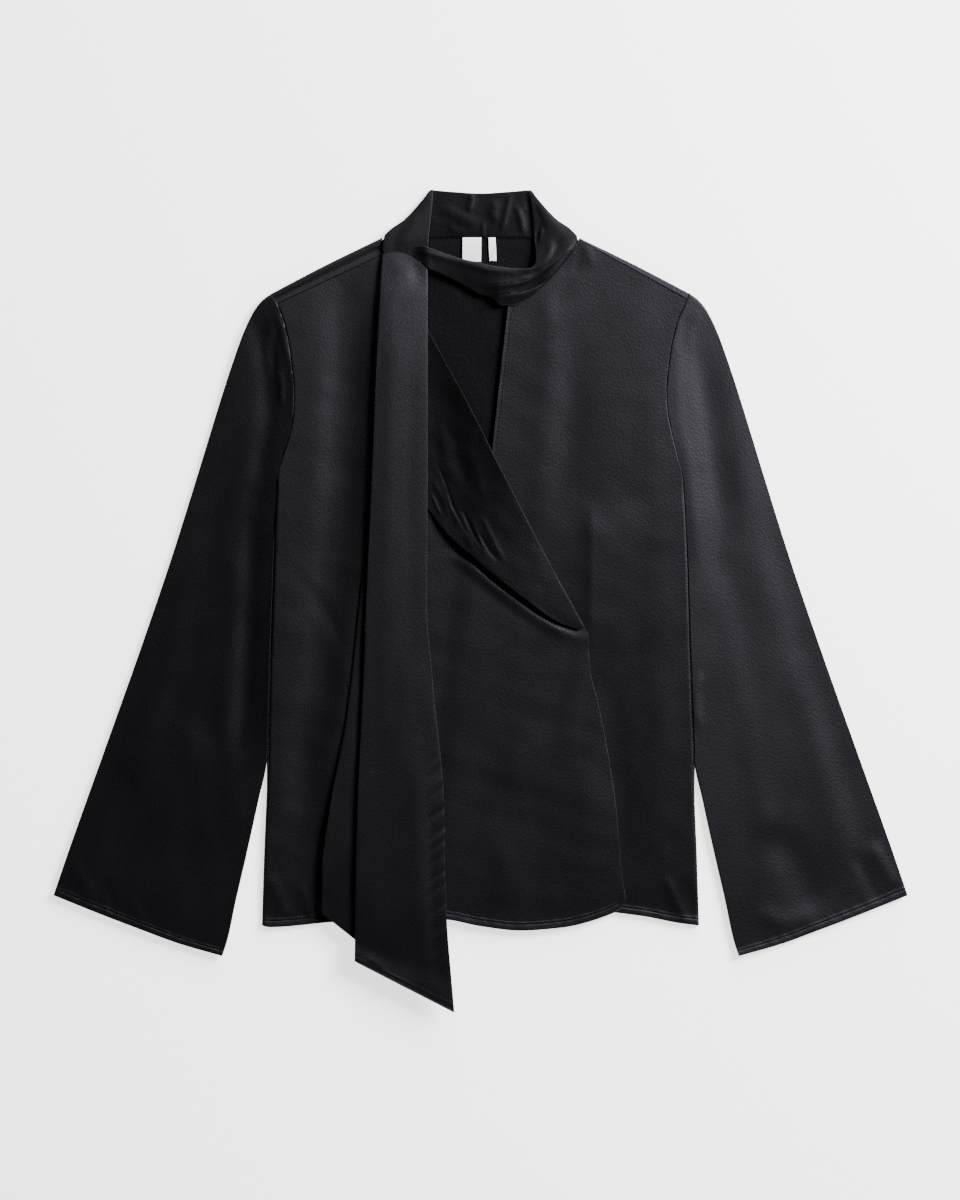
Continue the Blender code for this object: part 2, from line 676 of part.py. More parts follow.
def right_front():
    """The right front, which wraps over: side seam, armhole, shoulder seam, slanting roll line and free edge."""
    seam = front_top_edge("right")
    roll_line = through([Place(*seam(np.ones(()))), *ROLL_LINE])
    top = joined((seam, 0.24), (roll_line, 1.0))
    side = side_line("right", SHOULDER_SEAM_UP["right"] - 1.5 * SEAM)
    place = patch(through(HEM_RIGHT_FRONT), top, through(side), even_hem(through(WRAP_EDGE), 256.0, 592.0))
    level = lambda x, y: front_level(x, y, RIGHT_FRONT_FOLDS) + lap_height(x, y)
    return front_panel("right_front", place, "start", WRAP_COLUMNS, level, 580.0)


def sleeve(side):
    """A sleeve pressed flat: one tube from the armhole to the cuff, folded along both edges."""
    sign = -1.0 if side == "right" else 1.0

    def outwards(curve):
        return lambda share: curve(share) + np.array([sign * ARMHOLE_GAP, 0.0])

    def flip(points):
        return points if side == "left" else mirrored(points)

    armhole = [Place(getattr(row, side), row.up) for row in reversed(ARMHOLES)]
    armhole_curve, outer_edge = outwards(through(armhole)), outwards(through(flip(SLEEVE_OUTER)))
    inner_points = [Place(getattr(ARMHOLES[0], side), ARMHOLES[0].up), *flip(SLEEVE_INNER)[1:]]
    inner_edge = outwards(through(inner_points))
    cuff = outwards(through(flip(CUFF)))
    place = patch(armhole_curve, cuff, outer_edge, inner_edge)
    folds = [fold._replace(x0=fold.x0 * sign, x1=fold.x1 * sign) for fold in SLEEVE_FOLDS]
    length = 560.0
    along = 1.0 - rows_with_hem(length, SLEEVE_RINGS)[::-1]
    rings, lifts = [], []
    body = np.array(side_line(side, ARMHOLES[-1].up), float) * [sign, 1.0]
    for v in along:
        chord = np.linspace(0, 1, 33)
        line = place(chord, np.full_like(chord, v))
        width = np.linalg.norm(np.diff(line, axis=0), axis=1).sum()
        across = shares(width, SLEEVE_COLUMNS, True, True)
        xy = place(across, np.full_like(across, v))
        near_underarm = np.exp(-(((xy[:, 1] - ARMHOLES[0].up) / 24.0) ** 2))
        seam_x = np.interp(xy[:, 1], body[:, 1], body[:, 0]) + ARMHOLE_GAP * (1.0 + near_underarm)
        xy[:, 0] = sign * np.maximum(sign * xy[:, 0], np.where(xy[:, 1] > -150.0, seam_x, 0.0))
        seam_dip = 0.8 * np.exp(-((v * length / 6.0) ** 2))
        crown = 1.1 * np.sin(np.pi * across) * step_up(v, 0.0, 0.25) * (1.0 - 0.8 * step_up(v, 0.8, 1.0))
        height = FRONT_TOP + crown - seam_dip + fold_heights(folds, xy[:, 0], xy[:, 1]) * (1 - step_up(v, 0.93, 1.0))
        middle = height / 2.0
        edge = roll(np.minimum(across, 1.0 - across) * width)
        upper = np.column_stack([xy, middle + middle * edge])
        lower = np.column_stack([xy, middle - middle * edge])
        rings.append(np.concatenate([upper, lower[-2:0:-1]]))
        is_hem = v > 1.0 - (HEM_WIDTH - HEM_STEP / 2) / length
        lifts.append(np.concatenate([HEM_RISE * is_hem * (edge > 0.5), np.zeros(len(lower) - 2)]))
    return wall(f"{side}_sleeve", np.array(rings), CLOTH, SATIN_FACE, closed=True, raised=np.array(lifts), lowest=CLOTH)


def ribbon(name, table, rows, thickness, kind, gathers=0.0, across=RIBBON_ACROSS, base=None):
    """A strip of cloth between two edge lines, rolled down at its edges, with soft gathers along it if asked."""
    data = np.array(table, float)
    middle = (data[:, :2] + data[:, 2:4]) / 2.0
    lengths = np.linalg.norm(np.diff(middle, axis=0), axis=1)
    at = np.concatenate([[0.0], np.cumsum(lengths)]) / lengths.sum()
    line = monotone(at, data)
    ahead = middle[1] - middle[0]
    ahead = ahead / np.linalg.norm(ahead)
    lattice = []
    for share in np.linspace(0.0, 1.0, rows):
        row = Ribbon(*line(np.array(share)))
        width = np.hypot(row.bx - row.ax, row.by - row.ay)
        edge = min(ROLL, width * 0.3)
        steps = np.array(ROLL_STEPS) * edge / width
        w = np.concatenate([steps, np.linspace(steps[-1], 1 - steps[-1], across + 2)[1:-1], 1.0 - steps[::-1]])
        z = row.az + (row.bz - row.az) * w + row.crown * 4 * w * (1 - w)
        z -= row.drop_a * (1.0 - roll(w * width, edge)) + row.drop_b * (1.0 - roll((1.0 - w) * width, edge))
        strength = gathers * step_up(share, 0.3, 0.7)
        for ridge in GATHERS:
            z += strength * np.exp(-(((w - ridge) / GATHER_WIDTH) ** 2))
        reach = -row.bow * 4 * w * (1 - w)
        x = row.ax + (row.bx - row.ax) * w + ahead[0] * reach
        y = row.ay + (row.by - row.ay) * w + ahead[1] * reach
        lattice.append(np.column_stack([x, y, z]))
    return wall(name, np.array(lattice), thickness, kind, lowest=base)


def scarf_back():
    """The stretch of the scarf that stands round the back of the neck, laid flat, its inner face up."""
    top = through(BACK_STRETCH)
    rows = []
    for share in np.linspace(0.0, 1.0, 17):
        x, y = top(np.array(share))
        line = [Place(x, BACK_NECK_Y + 2 * SEAM), Place(x, y)]
        up = np.linspace(0.0, 1.0, 4)
        rows.append([[x, line[0].y + (line[1].y - line[0].y) * k, SCARF] for k in up])
    return wall("scarf_back_neck", np.array(rows), SCARF, SATIN_SCARF)


def labels():
    """The woven labels, which lie on the inside of the back under the neck seam."""
    floor = BACK_TOP + SEAM
    for tab in LABELS:
        rows = []
        for down in np.linspace(0.0, tab.length, 4):
            lift = floor + LABEL + 0.25 * np.sin(np.pi * down / tab.length)
            rows.append([[tab.x + side * tab.width / 2, tab.top - down, lift] for side in (-1, 0, 1)])
        wall(tab.name, np.array(rows), LABEL, LABEL_CLOTH, lowest=floor)


def build_blouse():
    """Builds every piece of the blouse."""
    clear_scene()
    for kind in (SATIN_FACE, SATIN_SCARF, LABEL_CLOTH):
        satin(kind)
    back_panel()
    left_front()
    right_front()
    ribbon("right_front_revers", REVERS, 16, CLOTH, SATIN_FACE)
    sleeve("right")
    sleeve("left")
    scarf_back()
    over_back = SCARF + SEAM
    ribbon("scarf_right_neck", RIGHT_NECK, 10, SCARF, SATIN_SCARF, base=over_back)
    ribbon("scarf_left_neck", LEFT_NECK, 20, SCARF, SATIN_SCARF, gathers=1.1, across=9, base=over_back)
    ribbon("scarf_crossing", CROSSING, 14, SCARF, SATIN_SCARF, across=7)
    ribbon("scarf_rear_end", REAR_END, 14, SCARF, SATIN_SCARF)
    ribbon("scarf_front_end", FRONT_END, 20, SCARF, SATIN_SCARF)
    labels()


build_blouse()
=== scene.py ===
"""The looks of a tie neck blouse in black satin, laid out flat on its back.

Each class makes one part of the blouse as cloth: a lattice of points that follows the part's solid, with its folds,
creases and turned edges, and a thin shell made from it. Lengths are in millimetres until a mesh is made. +Y runs to
the collar and +Z up, and left and right are the wearer's, so the right sleeve lies at -X.
"""

from __future__ import annotations

import logging
import math
from dataclasses import dataclass
from dataclasses import field
from enum import Enum
from typing import Callable
from typing import NamedTuple
from typing import Sequence

import bpy
import numpy as np
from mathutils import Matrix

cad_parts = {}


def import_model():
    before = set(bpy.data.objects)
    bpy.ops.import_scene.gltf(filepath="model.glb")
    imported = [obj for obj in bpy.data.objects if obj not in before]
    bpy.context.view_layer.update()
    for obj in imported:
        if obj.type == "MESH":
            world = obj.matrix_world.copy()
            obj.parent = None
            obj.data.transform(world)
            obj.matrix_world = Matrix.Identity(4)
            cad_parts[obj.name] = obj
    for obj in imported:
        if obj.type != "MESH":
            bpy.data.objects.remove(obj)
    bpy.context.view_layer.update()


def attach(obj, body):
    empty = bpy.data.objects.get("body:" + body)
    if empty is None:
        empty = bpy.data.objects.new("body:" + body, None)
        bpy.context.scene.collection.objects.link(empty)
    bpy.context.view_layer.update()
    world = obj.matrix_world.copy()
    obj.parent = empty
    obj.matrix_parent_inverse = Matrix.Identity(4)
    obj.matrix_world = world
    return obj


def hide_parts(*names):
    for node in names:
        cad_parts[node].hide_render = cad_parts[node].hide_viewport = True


LOG = logging.getLogger("blouse")

MM = 0.001
BODY = "root"

# Heights of the layers, as the solids have them
CLOTH = 1.2
BACK_TOP = 1.2
SEAM = 0.3
FRONT_RIM = 1.5
FRONT_TOP = 4.7
LAP_RISE = 1.7
ARMHOLE_GAP = 0.35
SHELL = 0.8
SCARF_SHELL = 1.1

# The turned hem and its stitching
HEM_WIDTH = 7.6
HEM_RISE = 0.45
STITCH_LINE = 6.2

# Distances from an edge at which a lattice has its first columns or rows
EDGE_STEPS = (0.0, 0.12, 0.4, 0.9, 1.7, 2.8)
HEM_STEPS = (0.0, 0.15, 0.5, 1.1, 2.2, 3.8, 5.0, 5.7, 6.2, 6.7, 7.3, 7.9, 8.8, 10.5)

Curve = Callable[[np.ndarray], np.ndarray]


class Place(NamedTuple):
    """A point of the laid-out blouse, seen from above."""

    x: float
    y: float


class Side(Enum):
    """The wearer's two sides, with the sign that their x has."""

    RIGHT = -1.0
    LEFT = 1.0


class Layer(NamedTuple):
    """A row of a ribbon: its two edges, their heights, how far each edge drops, its crown and its bow."""

    ax: float
    ay: float
    bx: float
    by: float
    az: float
    bz: float
    drop_a: float
    drop_b: float
    crown: float
    bow: float


# Side seams and armholes, as rows of height, right x and left x
SIDE_ROWS = (
    (-308.5, -207.6, 207.6),
    (-246.5, -205.7, 205.7),
    (-180.0, -203.0, 203.2),
    (-140.0, -201.6, 202.6),
    (-53.7, -199.4, 199.5),
    (37.5, -196.2, 196.9),
    (115.5, -192.7, 192.6),
)
ARMHOLE_ROWS = (
    (115.5, -192.7, 192.6),
    (136.0, -187.6, 187.2),
    (160.0, -180.0, 181.2),
    (180.0, -177.0, 177.4),
    (200.9, -176.5, 176.4),
    (222.0, -178.6, 178.2),
    (244.6, -181.6, 181.6),
    (266.0, -186.6, 187.2),
    (283.0, -193.0, 195.0),
    (291.6, -198.0, 198.6),
)
SHOULDER_SEAM_UP = {Side.RIGHT: 281.5, Side.LEFT: 285.5}
SHOULDER_FOLD = (Place(198.0, 291.6), Place(147.0, 318.3), Place(93.5, 344.3))
NECK_SIDE_X = 93.5
SHOULDER_SEAM_AT_NECK_Y = {Side.RIGHT: 327.8, Side.LEFT: 342.4}
BACK_NECK_Y = 345.0
NECK_SHARE = 0.27

HEM_BACK = (
    (-207.6, -308.0),
    (-143.0, -302.0),
    (-76.5, -297.0),
    (0.0, -292.0),
    (113.5, -291.0),
    (151.5, -295.0),
    (189.5, -302.0),
    (207.6, -307.0),
)
HEM_RIGHT_FRONT = (
    (-207.6, -308.5),
    (-200.0, -310.0),
    (-143.0, -305.4),
    (-76.5, -301.0),
    (-32.8, -302.6),
    (-0.5, -308.8),
    (37.5, -313.0),
    (75.5, -310.4),
    (113.5, -301.1),
    (134.4, -290.2),
    (137.9, -282.6),
)
HEM_LEFT_FRONT = (
    (-38.5, -299.0),
    (37.5, -296.5),
    (113.5, -295.4),
    (151.5, -299.2),
    (189.5, -306.3),
    (207.6, -308.5),
)
WRAP_EDGE = (
    (137.9, -282.6),
    (134.4, -259.8),
    (128.7, -195.2),
    (118.3, -129.7),
    (111.6, -97.4),
    (104.0, -65.1),
    (102.1, -31.0),
)
ROLL_LINE = (
    (-84.1, 321.6),
    (-71.7, 299.7),
    (-49.9, 257.0),
    (-10.0, 182.9),
    (18.5, 125.9),
    (45.1, 74.6),
    (75.5, 16.6),
    (102.1, -31.0),
)
CENTRE_EDGE = (
    (-38.5, -299.0),
    (-19.5, -132.5),
    (-0.5, 38.5),
    (11.9, 152.5),
    (21.4, 238.0),
    (26.0, 278.5),
)
LEFT_NECKLINE = (
    (26.0, 278.5),
    (26.8, 281.2),
    (38.8, 284.6),
    (50.4, 294.6),
    (60.8, 304.6),
    (74.0, 318.6),
    (83.4, 331.6),
)
SLEEVE_OUTER = (
    (198.0, 291.6),
    (206.6, 285.5),
    (214.4, 276.0),
    (223.9, 257.0),
    (234.4, 228.5),
    (246.8, 190.5),
    (267.2, 124.0),
    (294.1, 38.5),
    (323.2, -47.0),
    (357.0, -142.0),
    (394.1, -246.5),
    (405.3, -279.6),
)
SLEEVE_INNER = (
    (192.7, 115.5),
    (196.4, 37.5),
    (199.6, -53.7),
    (201.6, -120.0),
    (202.6, -150.0),
    (210.6, -189.5),
    (223.2, -246.5),
    (232.0, -284.5),
    (240.2, -322.5),
    (245.0, -337.3),
)
CUFF = ((405.3, -279.6), (360.5, -297.6), (323.0, -311.9), (284.5, -326.0), (245.0, -337.3))
COLLAR_TOP = (
    (-90.5, 347.6),
    (-72.2, 360.6),
    (-55.0, 379.6),
    (-47.0, 389.8),
    (-29.0, 388.4),
    (0.0, 386.7),
    (29.0, 388.4),
    (47.0, 389.8),
    (55.0, 379.6),
    (72.2, 360.6),
    (90.5, 347.6),
)

RIGHT_NECK = (
    Layer(-47.6, 389.6, -44.6, 389.4, 4.6, 4.7, 1.6, 0.3, 0.0, 0),
    Layer(-55.0, 380.5, -45.4, 379.5, 5.0, 5.2, 1.8, 0.6, 0.1, 0),
    Layer(-72.2, 361.5, -47.0, 362.0, 5.7, 5.9, 2.2, 0.8, 0.3, 0),
    Layer(-85.4, 352.0, -48.3, 350.5, 6.3, 6.2, 2.6, 0.8, 0.3, 0),
    Layer(-91.3, 345.6, -49.3, 341.0, 6.7, 6.5, 2.4, 0.8, 0.3, 0),
    Layer(-92.6, 338.0, -50.2, 331.0, 6.9, 6.6, 1.4, 0.7, 0.2, 0),
    Layer(-92.9, 329.6, -51.0, 320.8, 7.1, 6.8, 0.8, 0.5, 0.1, 0),
)
REAR_END = (
    Layer(-93.0, 328.9, -54.0, 320.6, 8.0, 8.0, 0.8, 0.3, 0.1, 0),
    Layer(-97.0, 285.0, -64.0, 285.0, 10.1, 10.1, 0.8, 0.3, 0.2, 0),
    Layer(-100.4, 210.0, -67.0, 210.0, 10.1, 10.1, 0.8, 0.3, 0.2, 0),
    Layer(-103.8, 114.5, -68.0, 114.5, 10.1, 10.1, 0.8, 0.3, 0.2, 0),
    Layer(-114.5, 0.5, -74.0, 0.5, 10.1, 10.3, 0.8, 0.3, 0.2, 0),
    Layer(-127.5, -113.5, -80.0, -113.5, 10.1, 10.4, 0.8, 0.3, 0.2, 0),
    Layer(-143.9, -201.5, -84.0, -201.5, 10.2, 10.5, 0.8, 0.3, 0.2, 0),
    Layer(-150.3, -253.2, -82.0, -260.0, 10.2, 10.5, 0.8, 0.3, 0.2, 0),
    Layer(-150.3, -296.0, -80.0, -352.0, 10.0, 10.2, 0.8, 0.3, 0.1, 0),
)
FRONT_END = (
    Layer(-92.6, 327.3, -50.2, 313.4, 9.6, 9.6, 0.9, 0.9, 0.6, 8),
    Layer(-94.3, 305.0, -49.9, 298.0, 11.2, 11.6, 1.0, 1.0, 0.8, 3),
    Layer(-95.5, 285.5, -49.9, 285.5, 12.4, 12.9, 1.1, 1.1, 0.9, 0),
    Layer(-99.3, 209.5, -49.9, 209.5, 14.0, 14.8, 1.2, 1.2, 1.0, 0),
    Layer(-103.1, 114.5, -49.9, 114.5, 14.0, 14.8, 1.2, 1.2, 1.0, 0),
    Layer(-108.3, 0.5, -50.7, 0.5, 14.0, 14.6, 1.2, 1.2, 1.0, 0),
    Layer(-111.2, -81.2, -44.6, -81.2, 14.0, 14.6, 1.2, 1.2, 1.1, 0),
    Layer(-116.4, -189.5, -34.6, -189.5, 14.0, 14.6, 1.2, 1.2, 1.2, 0),
    Layer(-118.6, -280.0, -32.6, -286.0, 13.8, 14.4, 1.2, 1.2, 1.1, 0),
    Layer(-119.0, -341.5, -24.6, -390.0, 12.6, 12.6, 1.0, 1.0, 0.5, 0),
)
NECKLINE = (
    Layer(48.8, 388.4, 45.6, 388.2, 4.4, 4.5, 1.6, 0.3, 0.0, 0),
    Layer(55.0, 380.5, 47.4, 379.5, 5.2, 4.2, 1.8, 0.6, 0.2, 0),
    Layer(72.5, 361.5, 49.2, 362.5, 6.4, 4.3, 2.4, 0.9, 1.1, 0),
    Layer(85.6, 352.0, 50.2, 350.5, 7.2, 4.5, 2.8, 0.9, 1.4, 0),
    Layer(92.0, 343.6, 51.2, 340.0, 7.6, 4.9, 1.8, 0.9, 1.3, 0),
    Layer(89.0, 334.0, 51.8, 330.0, 7.6, 5.7, 1.5, 0.9, 1.1, 0),
    Layer(80.0, 320.6, 52.0, 322.4, 7.6, 7.0, 1.4, 0.9, 0.8, 0),
    Layer(68.4, 306.8, 49.8, 317.2, 7.5, 7.5, 1.3, 0.8, 0.9, 0),
    Layer(56.2, 294.6, 45.6, 315.0, 7.4, 7.9, 1.2, 0.8, 0.9, 0),
    Layer(42.4, 283.8, 37.6, 314.6, 7.3, 8.1, 1.1, 0.8, 0.9, 0),
    Layer(30.0, 279.6, 28.4, 315.2, 7.2, 8.2, 1.0, 0.8, 0.9, 0),
    Layer(19.3, 279.8, 19.0, 316.3, 7.0, 8.2, 1.0, 0.8, 0.9, 0),
    Layer(9.5, 287.2, 9.0, 317.8, 6.5, 8.0, 0.9, 0.8, 0.8, 0),
    Layer(-1.6, 290.4, -3.0, 320.6, 5.9, 7.8, 0.9, 0.8, 0.7, 0),
    Layer(-14.5, 298.0, -17.6, 323.8, 5.8, 7.8, 0.9, 0.8, 0.6, 0),
    Layer(-30.0, 306.0, -33.0, 328.8, 6.6, 8.3, 0.9, 0.8, 0.5, 0),
    Layer(-43.0, 312.0, -44.5, 332.8, 8.3, 9.2, 0.9, 0.8, 0.4, 0),
    Layer(-50.3, 314.8, -51.0, 335.0, 9.4, 9.7, 0.9, 0.8, 0.3, 0),
    Layer(-60.5, 323.2, -60.3, 336.4, 7.6, 7.0, 0.8, 0.8, 0.2, 0),
    Layer(-69.6, 330.0, -69.4, 333.6, 6.5, 6.4, 0.3, 0.3, 0.0, 0),
)
REVERS = (
    Layer(98.6, -25.4, 93.0, -28.0, 8.9, 8.9, 0.6, 0.1, 0.0, 0),
    Layer(86.0, -2.0, 73.4, -20.6, 8.8, 10.8, 0.7, 0.5, 0.3, 0),
    Layer(65.0, 36.6, 44.6, -0.6, 9.0, 12.8, 0.8, 0.7, 0.4, 0),
    Layer(45.0, 74.8, 19.8, 18.6, 10.8, 13.0, 0.8, 0.8, 0.0, 0),
    Layer(18.5, 126.0, -8.2, 41.8, 15.2, 11.6, 0.6, 0.8, -1.0, 0),
    Layer(-10.0, 183.0, -35.0, 66.6, 14.4, 8.4, 0.6, 0.8, -2.8, 0),
    Layer(-31.0, 222.0, -46.0, 82.0, 11.0, 6.8, 0.6, 0.6, -1.8, 0),
    Layer(-48.6, 254.5, -56.0, 98.0, 8.4, 6.4, 0.6, 0.4, -0.6, 0),
    Layer(-56.0, 268.5, -61.0, 130.0, 7.8, 6.4, 0.6, 0.3, 0.0, 0),
)


def step_up(value: np.ndarray, start: float | np.ndarray, end: float | np.ndarray) -> np.ndarray:
    """A smooth rise.

    Args:
        value: Where to read it.
        start: Up to here it is 0.
        end: From here on it is 1.

    Returns:
        The rise at each value.
    """
    share = np.clip((np.asarray(value, float) - start) / (np.asarray(end, float) - start), 0.0, 1.0)
    return share * share * (3.0 - 2.0 * share)


def bump(value: np.ndarray, middle: float, width: float) -> np.ndarray:
    """A soft hump, 1 at the middle and nearly 0 at twice the width from it."""
    return np.exp(-(((np.asarray(value, float) - middle) / width) ** 2))


def rounded(distance: np.ndarray, width: float) -> np.ndarray:
    """The quarter circle of a rolled edge: 0 at the edge, 1 from the width inwards."""
    inward = np.clip(np.asarray(distance, float) / width, 0.0, 1.0)
    return np.sqrt(1.0 - (1.0 - inward) ** 2)


def monotone(at: Sequence[float], values: np.ndarray) -> Curve:
    """A smooth function through rows of values, which never swings past them.

    Args:
        at: The places of the rows, rising.
        values: One row of numbers for each place.

    Returns:
        The function of a place.
    """
    at = np.array(at, float)
    values = np.array(values, float)
    gaps = np.diff(at)[:, None]
    rise = np.diff(values, axis=0) / gaps
    before, after = 2 * gaps[1:] + gaps[:-1], gaps[1:] + 2 * gaps[:-1]
    same_way = rise[:-1] * rise[1:] > 0
    first, second = (np.where(same_way, part, 1.0) for part in (rise[:-1], rise[1:]))
    mean = (before + after) / (before / first + after / second)
    slope = np.vstack([rise[:1], np.where(same_way, mean, 0.0), rise[-1:]])

    def value(share: np.ndarray) -> np.ndarray:
        share = np.clip(np.asarray(share, float), at[0], at[-1])
        k = np.clip(np.searchsorted(at, share, side="right") - 1, 0, len(gaps) - 1)
        width = gaps[k]
        t = ((share - at[k]) / width[..., 0])[..., None]
        return (
            (1 + 2 * t) * (1 - t) ** 2 * values[k]
            + t * (1 - t) ** 2 * width * slope[k]
            + t * t * (3 - 2 * t) * values[k + 1]
            + t * t * (t - 1) * width * slope[k + 1]
        )

    return value


def through(points: Sequence[Sequence[float]]) -> Curve:
    """A smooth curve through points, as a function of the share of its length."""
    points = np.array(points, float)
    lengths = np.linalg.norm(np.diff(points, axis=0), axis=1)
    return monotone(np.concatenate([[0.0], np.cumsum(lengths)]) / lengths.sum(), points)


def joined(*parts: tuple[Curve, float]) -> Curve:
    """One curve from several, each given with the share at which it ends."""

    def place(share: np.ndarray) -> np.ndarray:
        share = np.asarray(share, float)
        found = np.zeros((*share.shape, 2))
        start = 0.0
        for curve, end in parts:
            here = (share >= start) & (share <= end)
            found[here] = curve((share[here] - start) / (end - start))
            start = end
        return found

    return place


def patch(bottom: Curve, top: Curve, start: Curve, end: Curve) -> Callable[[np.ndarray, np.ndarray], np.ndarray]:
    """The surface between four edge curves, as a function of the shares across and up."""

    def place(across: np.ndarray, up: np.ndarray) -> np.ndarray:
        u, v = across[..., None], up[..., None]
        low, high = bottom(np.array([0.0, 1.0])), top(np.array([0.0, 1.0]))
        corners = (1 - u) * ((1 - v) * low[0] + v * high[0]) + u * ((1 - v) * low[1] + v * high[1])
        return (1 - v) * bottom(across) + v * top(across) + (1 - u) * start(up) + u * end(up) - corners

    return place


def shifted(points: Sequence[Sequence[float]], x: float = 0.0, y: float = 0.0) -> list[Place]:
    """The same points, moved."""
    return [Place(px + x, py + y) for px, py in points]


def on_side(points: Sequence[Sequence[float]], side: Side) -> list[Place]:
    """Points given for the left side, on the side asked for."""
    return [Place(px * side.value, py) for px, py in points]


def spaced(length: float, pitch: float, starts: Sequence[float], ends: Sequence[float]) -> np.ndarray:
    """Shares along a length, close together at its ends.

    Args:
        length: The length.
        pitch: The step between the ends.
        starts: Distances from the start that the shares include.
        ends: Distances from the end that they include.

    Returns:
        The shares, from 0 to 1.
    """
    first = np.array(starts) / length
    last = 1.0 - np.array(ends)[::-1] / length
    count = max(int(round((last[0] - first[-1]) * length / pitch)), 2)
    return np.concatenate([first, np.linspace(first[-1], last[0], count + 1)[1:-1], last])


@dataclass(frozen=True)
class Crease:
    """A fold laid along a path: a ridge, or a trough where its height is below nothing."""

    path: tuple[tuple[float, float], ...]
    width: float
    height: float
    lean: float = 1.0
    crisp: bool = False

    def heights(self, x: np.ndarray, y: np.ndarray) -> np.ndarray:
        """How far the fold lifts the cloth.

        Args:
            x: The places' x.
            y: Their y.

        Returns:
            The lift at each place. Left of the path the fold is lean times as wide as on its right.
        """
        line = through(self.path)(np.linspace(0.0, 1.0, 14)) if len(self.path) > 2 else np.array(self.path, float)
        best = np.full(x.shape, 1e9)
        offset, share = np.zeros(x.shape), np.zeros(x.shape)
        lengths = np.linalg.norm(np.diff(line, axis=0), axis=1)
        ends = np.concatenate([[0.0], np.cumsum(lengths)]) / lengths.sum()
        for k, length in enumerate(lengths):
            ahead = (line[k + 1] - line[k]) / length
            along = (x - line[k, 0]) * ahead[0] + (y - line[k, 1]) * ahead[1]
            off = (x - line[k, 0]) * ahead[1] - (y - line[k, 1]) * ahead[0]
            past = np.maximum(np.maximum(-along, along - length), 0.0)
            away = np.hypot(off, past)
            nearer = away < best
            best = np.where(nearer, away, best)
            offset = np.where(nearer, off, offset)
            place = ends[k] + (ends[k + 1] - ends[k]) * along / length
            share = np.where(nearer, place, share)
        width = np.where(offset < 0, self.width * self.lean, self.width)
        fade = step_up(share, -0.15, 0.22) * step_up(1.0 - share, -0.15, 0.22)
        fade = self.height * fade * np.exp(-np.maximum(best - abs(offset), 0) / 12)
        return fade * np.exp(-abs(offset) / width) if self.crisp else fade * np.exp(-((offset / width) ** 2))


def creased(creases: Sequence[Crease], x: np.ndarray, y: np.ndarray) -> np.ndarray:
    """The lift of several folds together."""
    total = np.zeros(np.shape(x))
    for crease in creases:
        total = total + crease.heights(x, y)
    return total


@dataclass(frozen=True)
class Rumple:
    """The slight unevenness of cloth that has been smoothed out by hand: many faint waves in seeded directions."""

    seed: int
    height: float
    shortest: float
    longest: float
    waves: int = 14
    towards: float = 90.0
    spread: float = 70.0

    def heights(self, x: np.ndarray, y: np.ndarray) -> np.ndarray:
        """The lift of the waves at each place."""
        draw = np.random.default_rng(self.seed)
        total = np.zeros(np.shape(x))
        for _ in range(self.waves):
            length = math.exp(draw.uniform(math.log(self.shortest), math.log(self.longest)))
            angle = math.radians(self.towards + draw.uniform(-self.spread, self.spread) + 90.0)
            phase, drift = draw.uniform(0, 2 * math.pi, 2)
            run = x * math.cos(angle) + y * math.sin(angle)
            side = y * math.cos(angle) - x * math.sin(angle)
            bend = 0.8 * np.sin(side * 2 * math.pi / (length * 3.1) + drift)
            total = total + np.sin(run * 2 * math.pi / length + phase + bend) * length / self.longest
        return total * self.height / math.sqrt(self.waves)


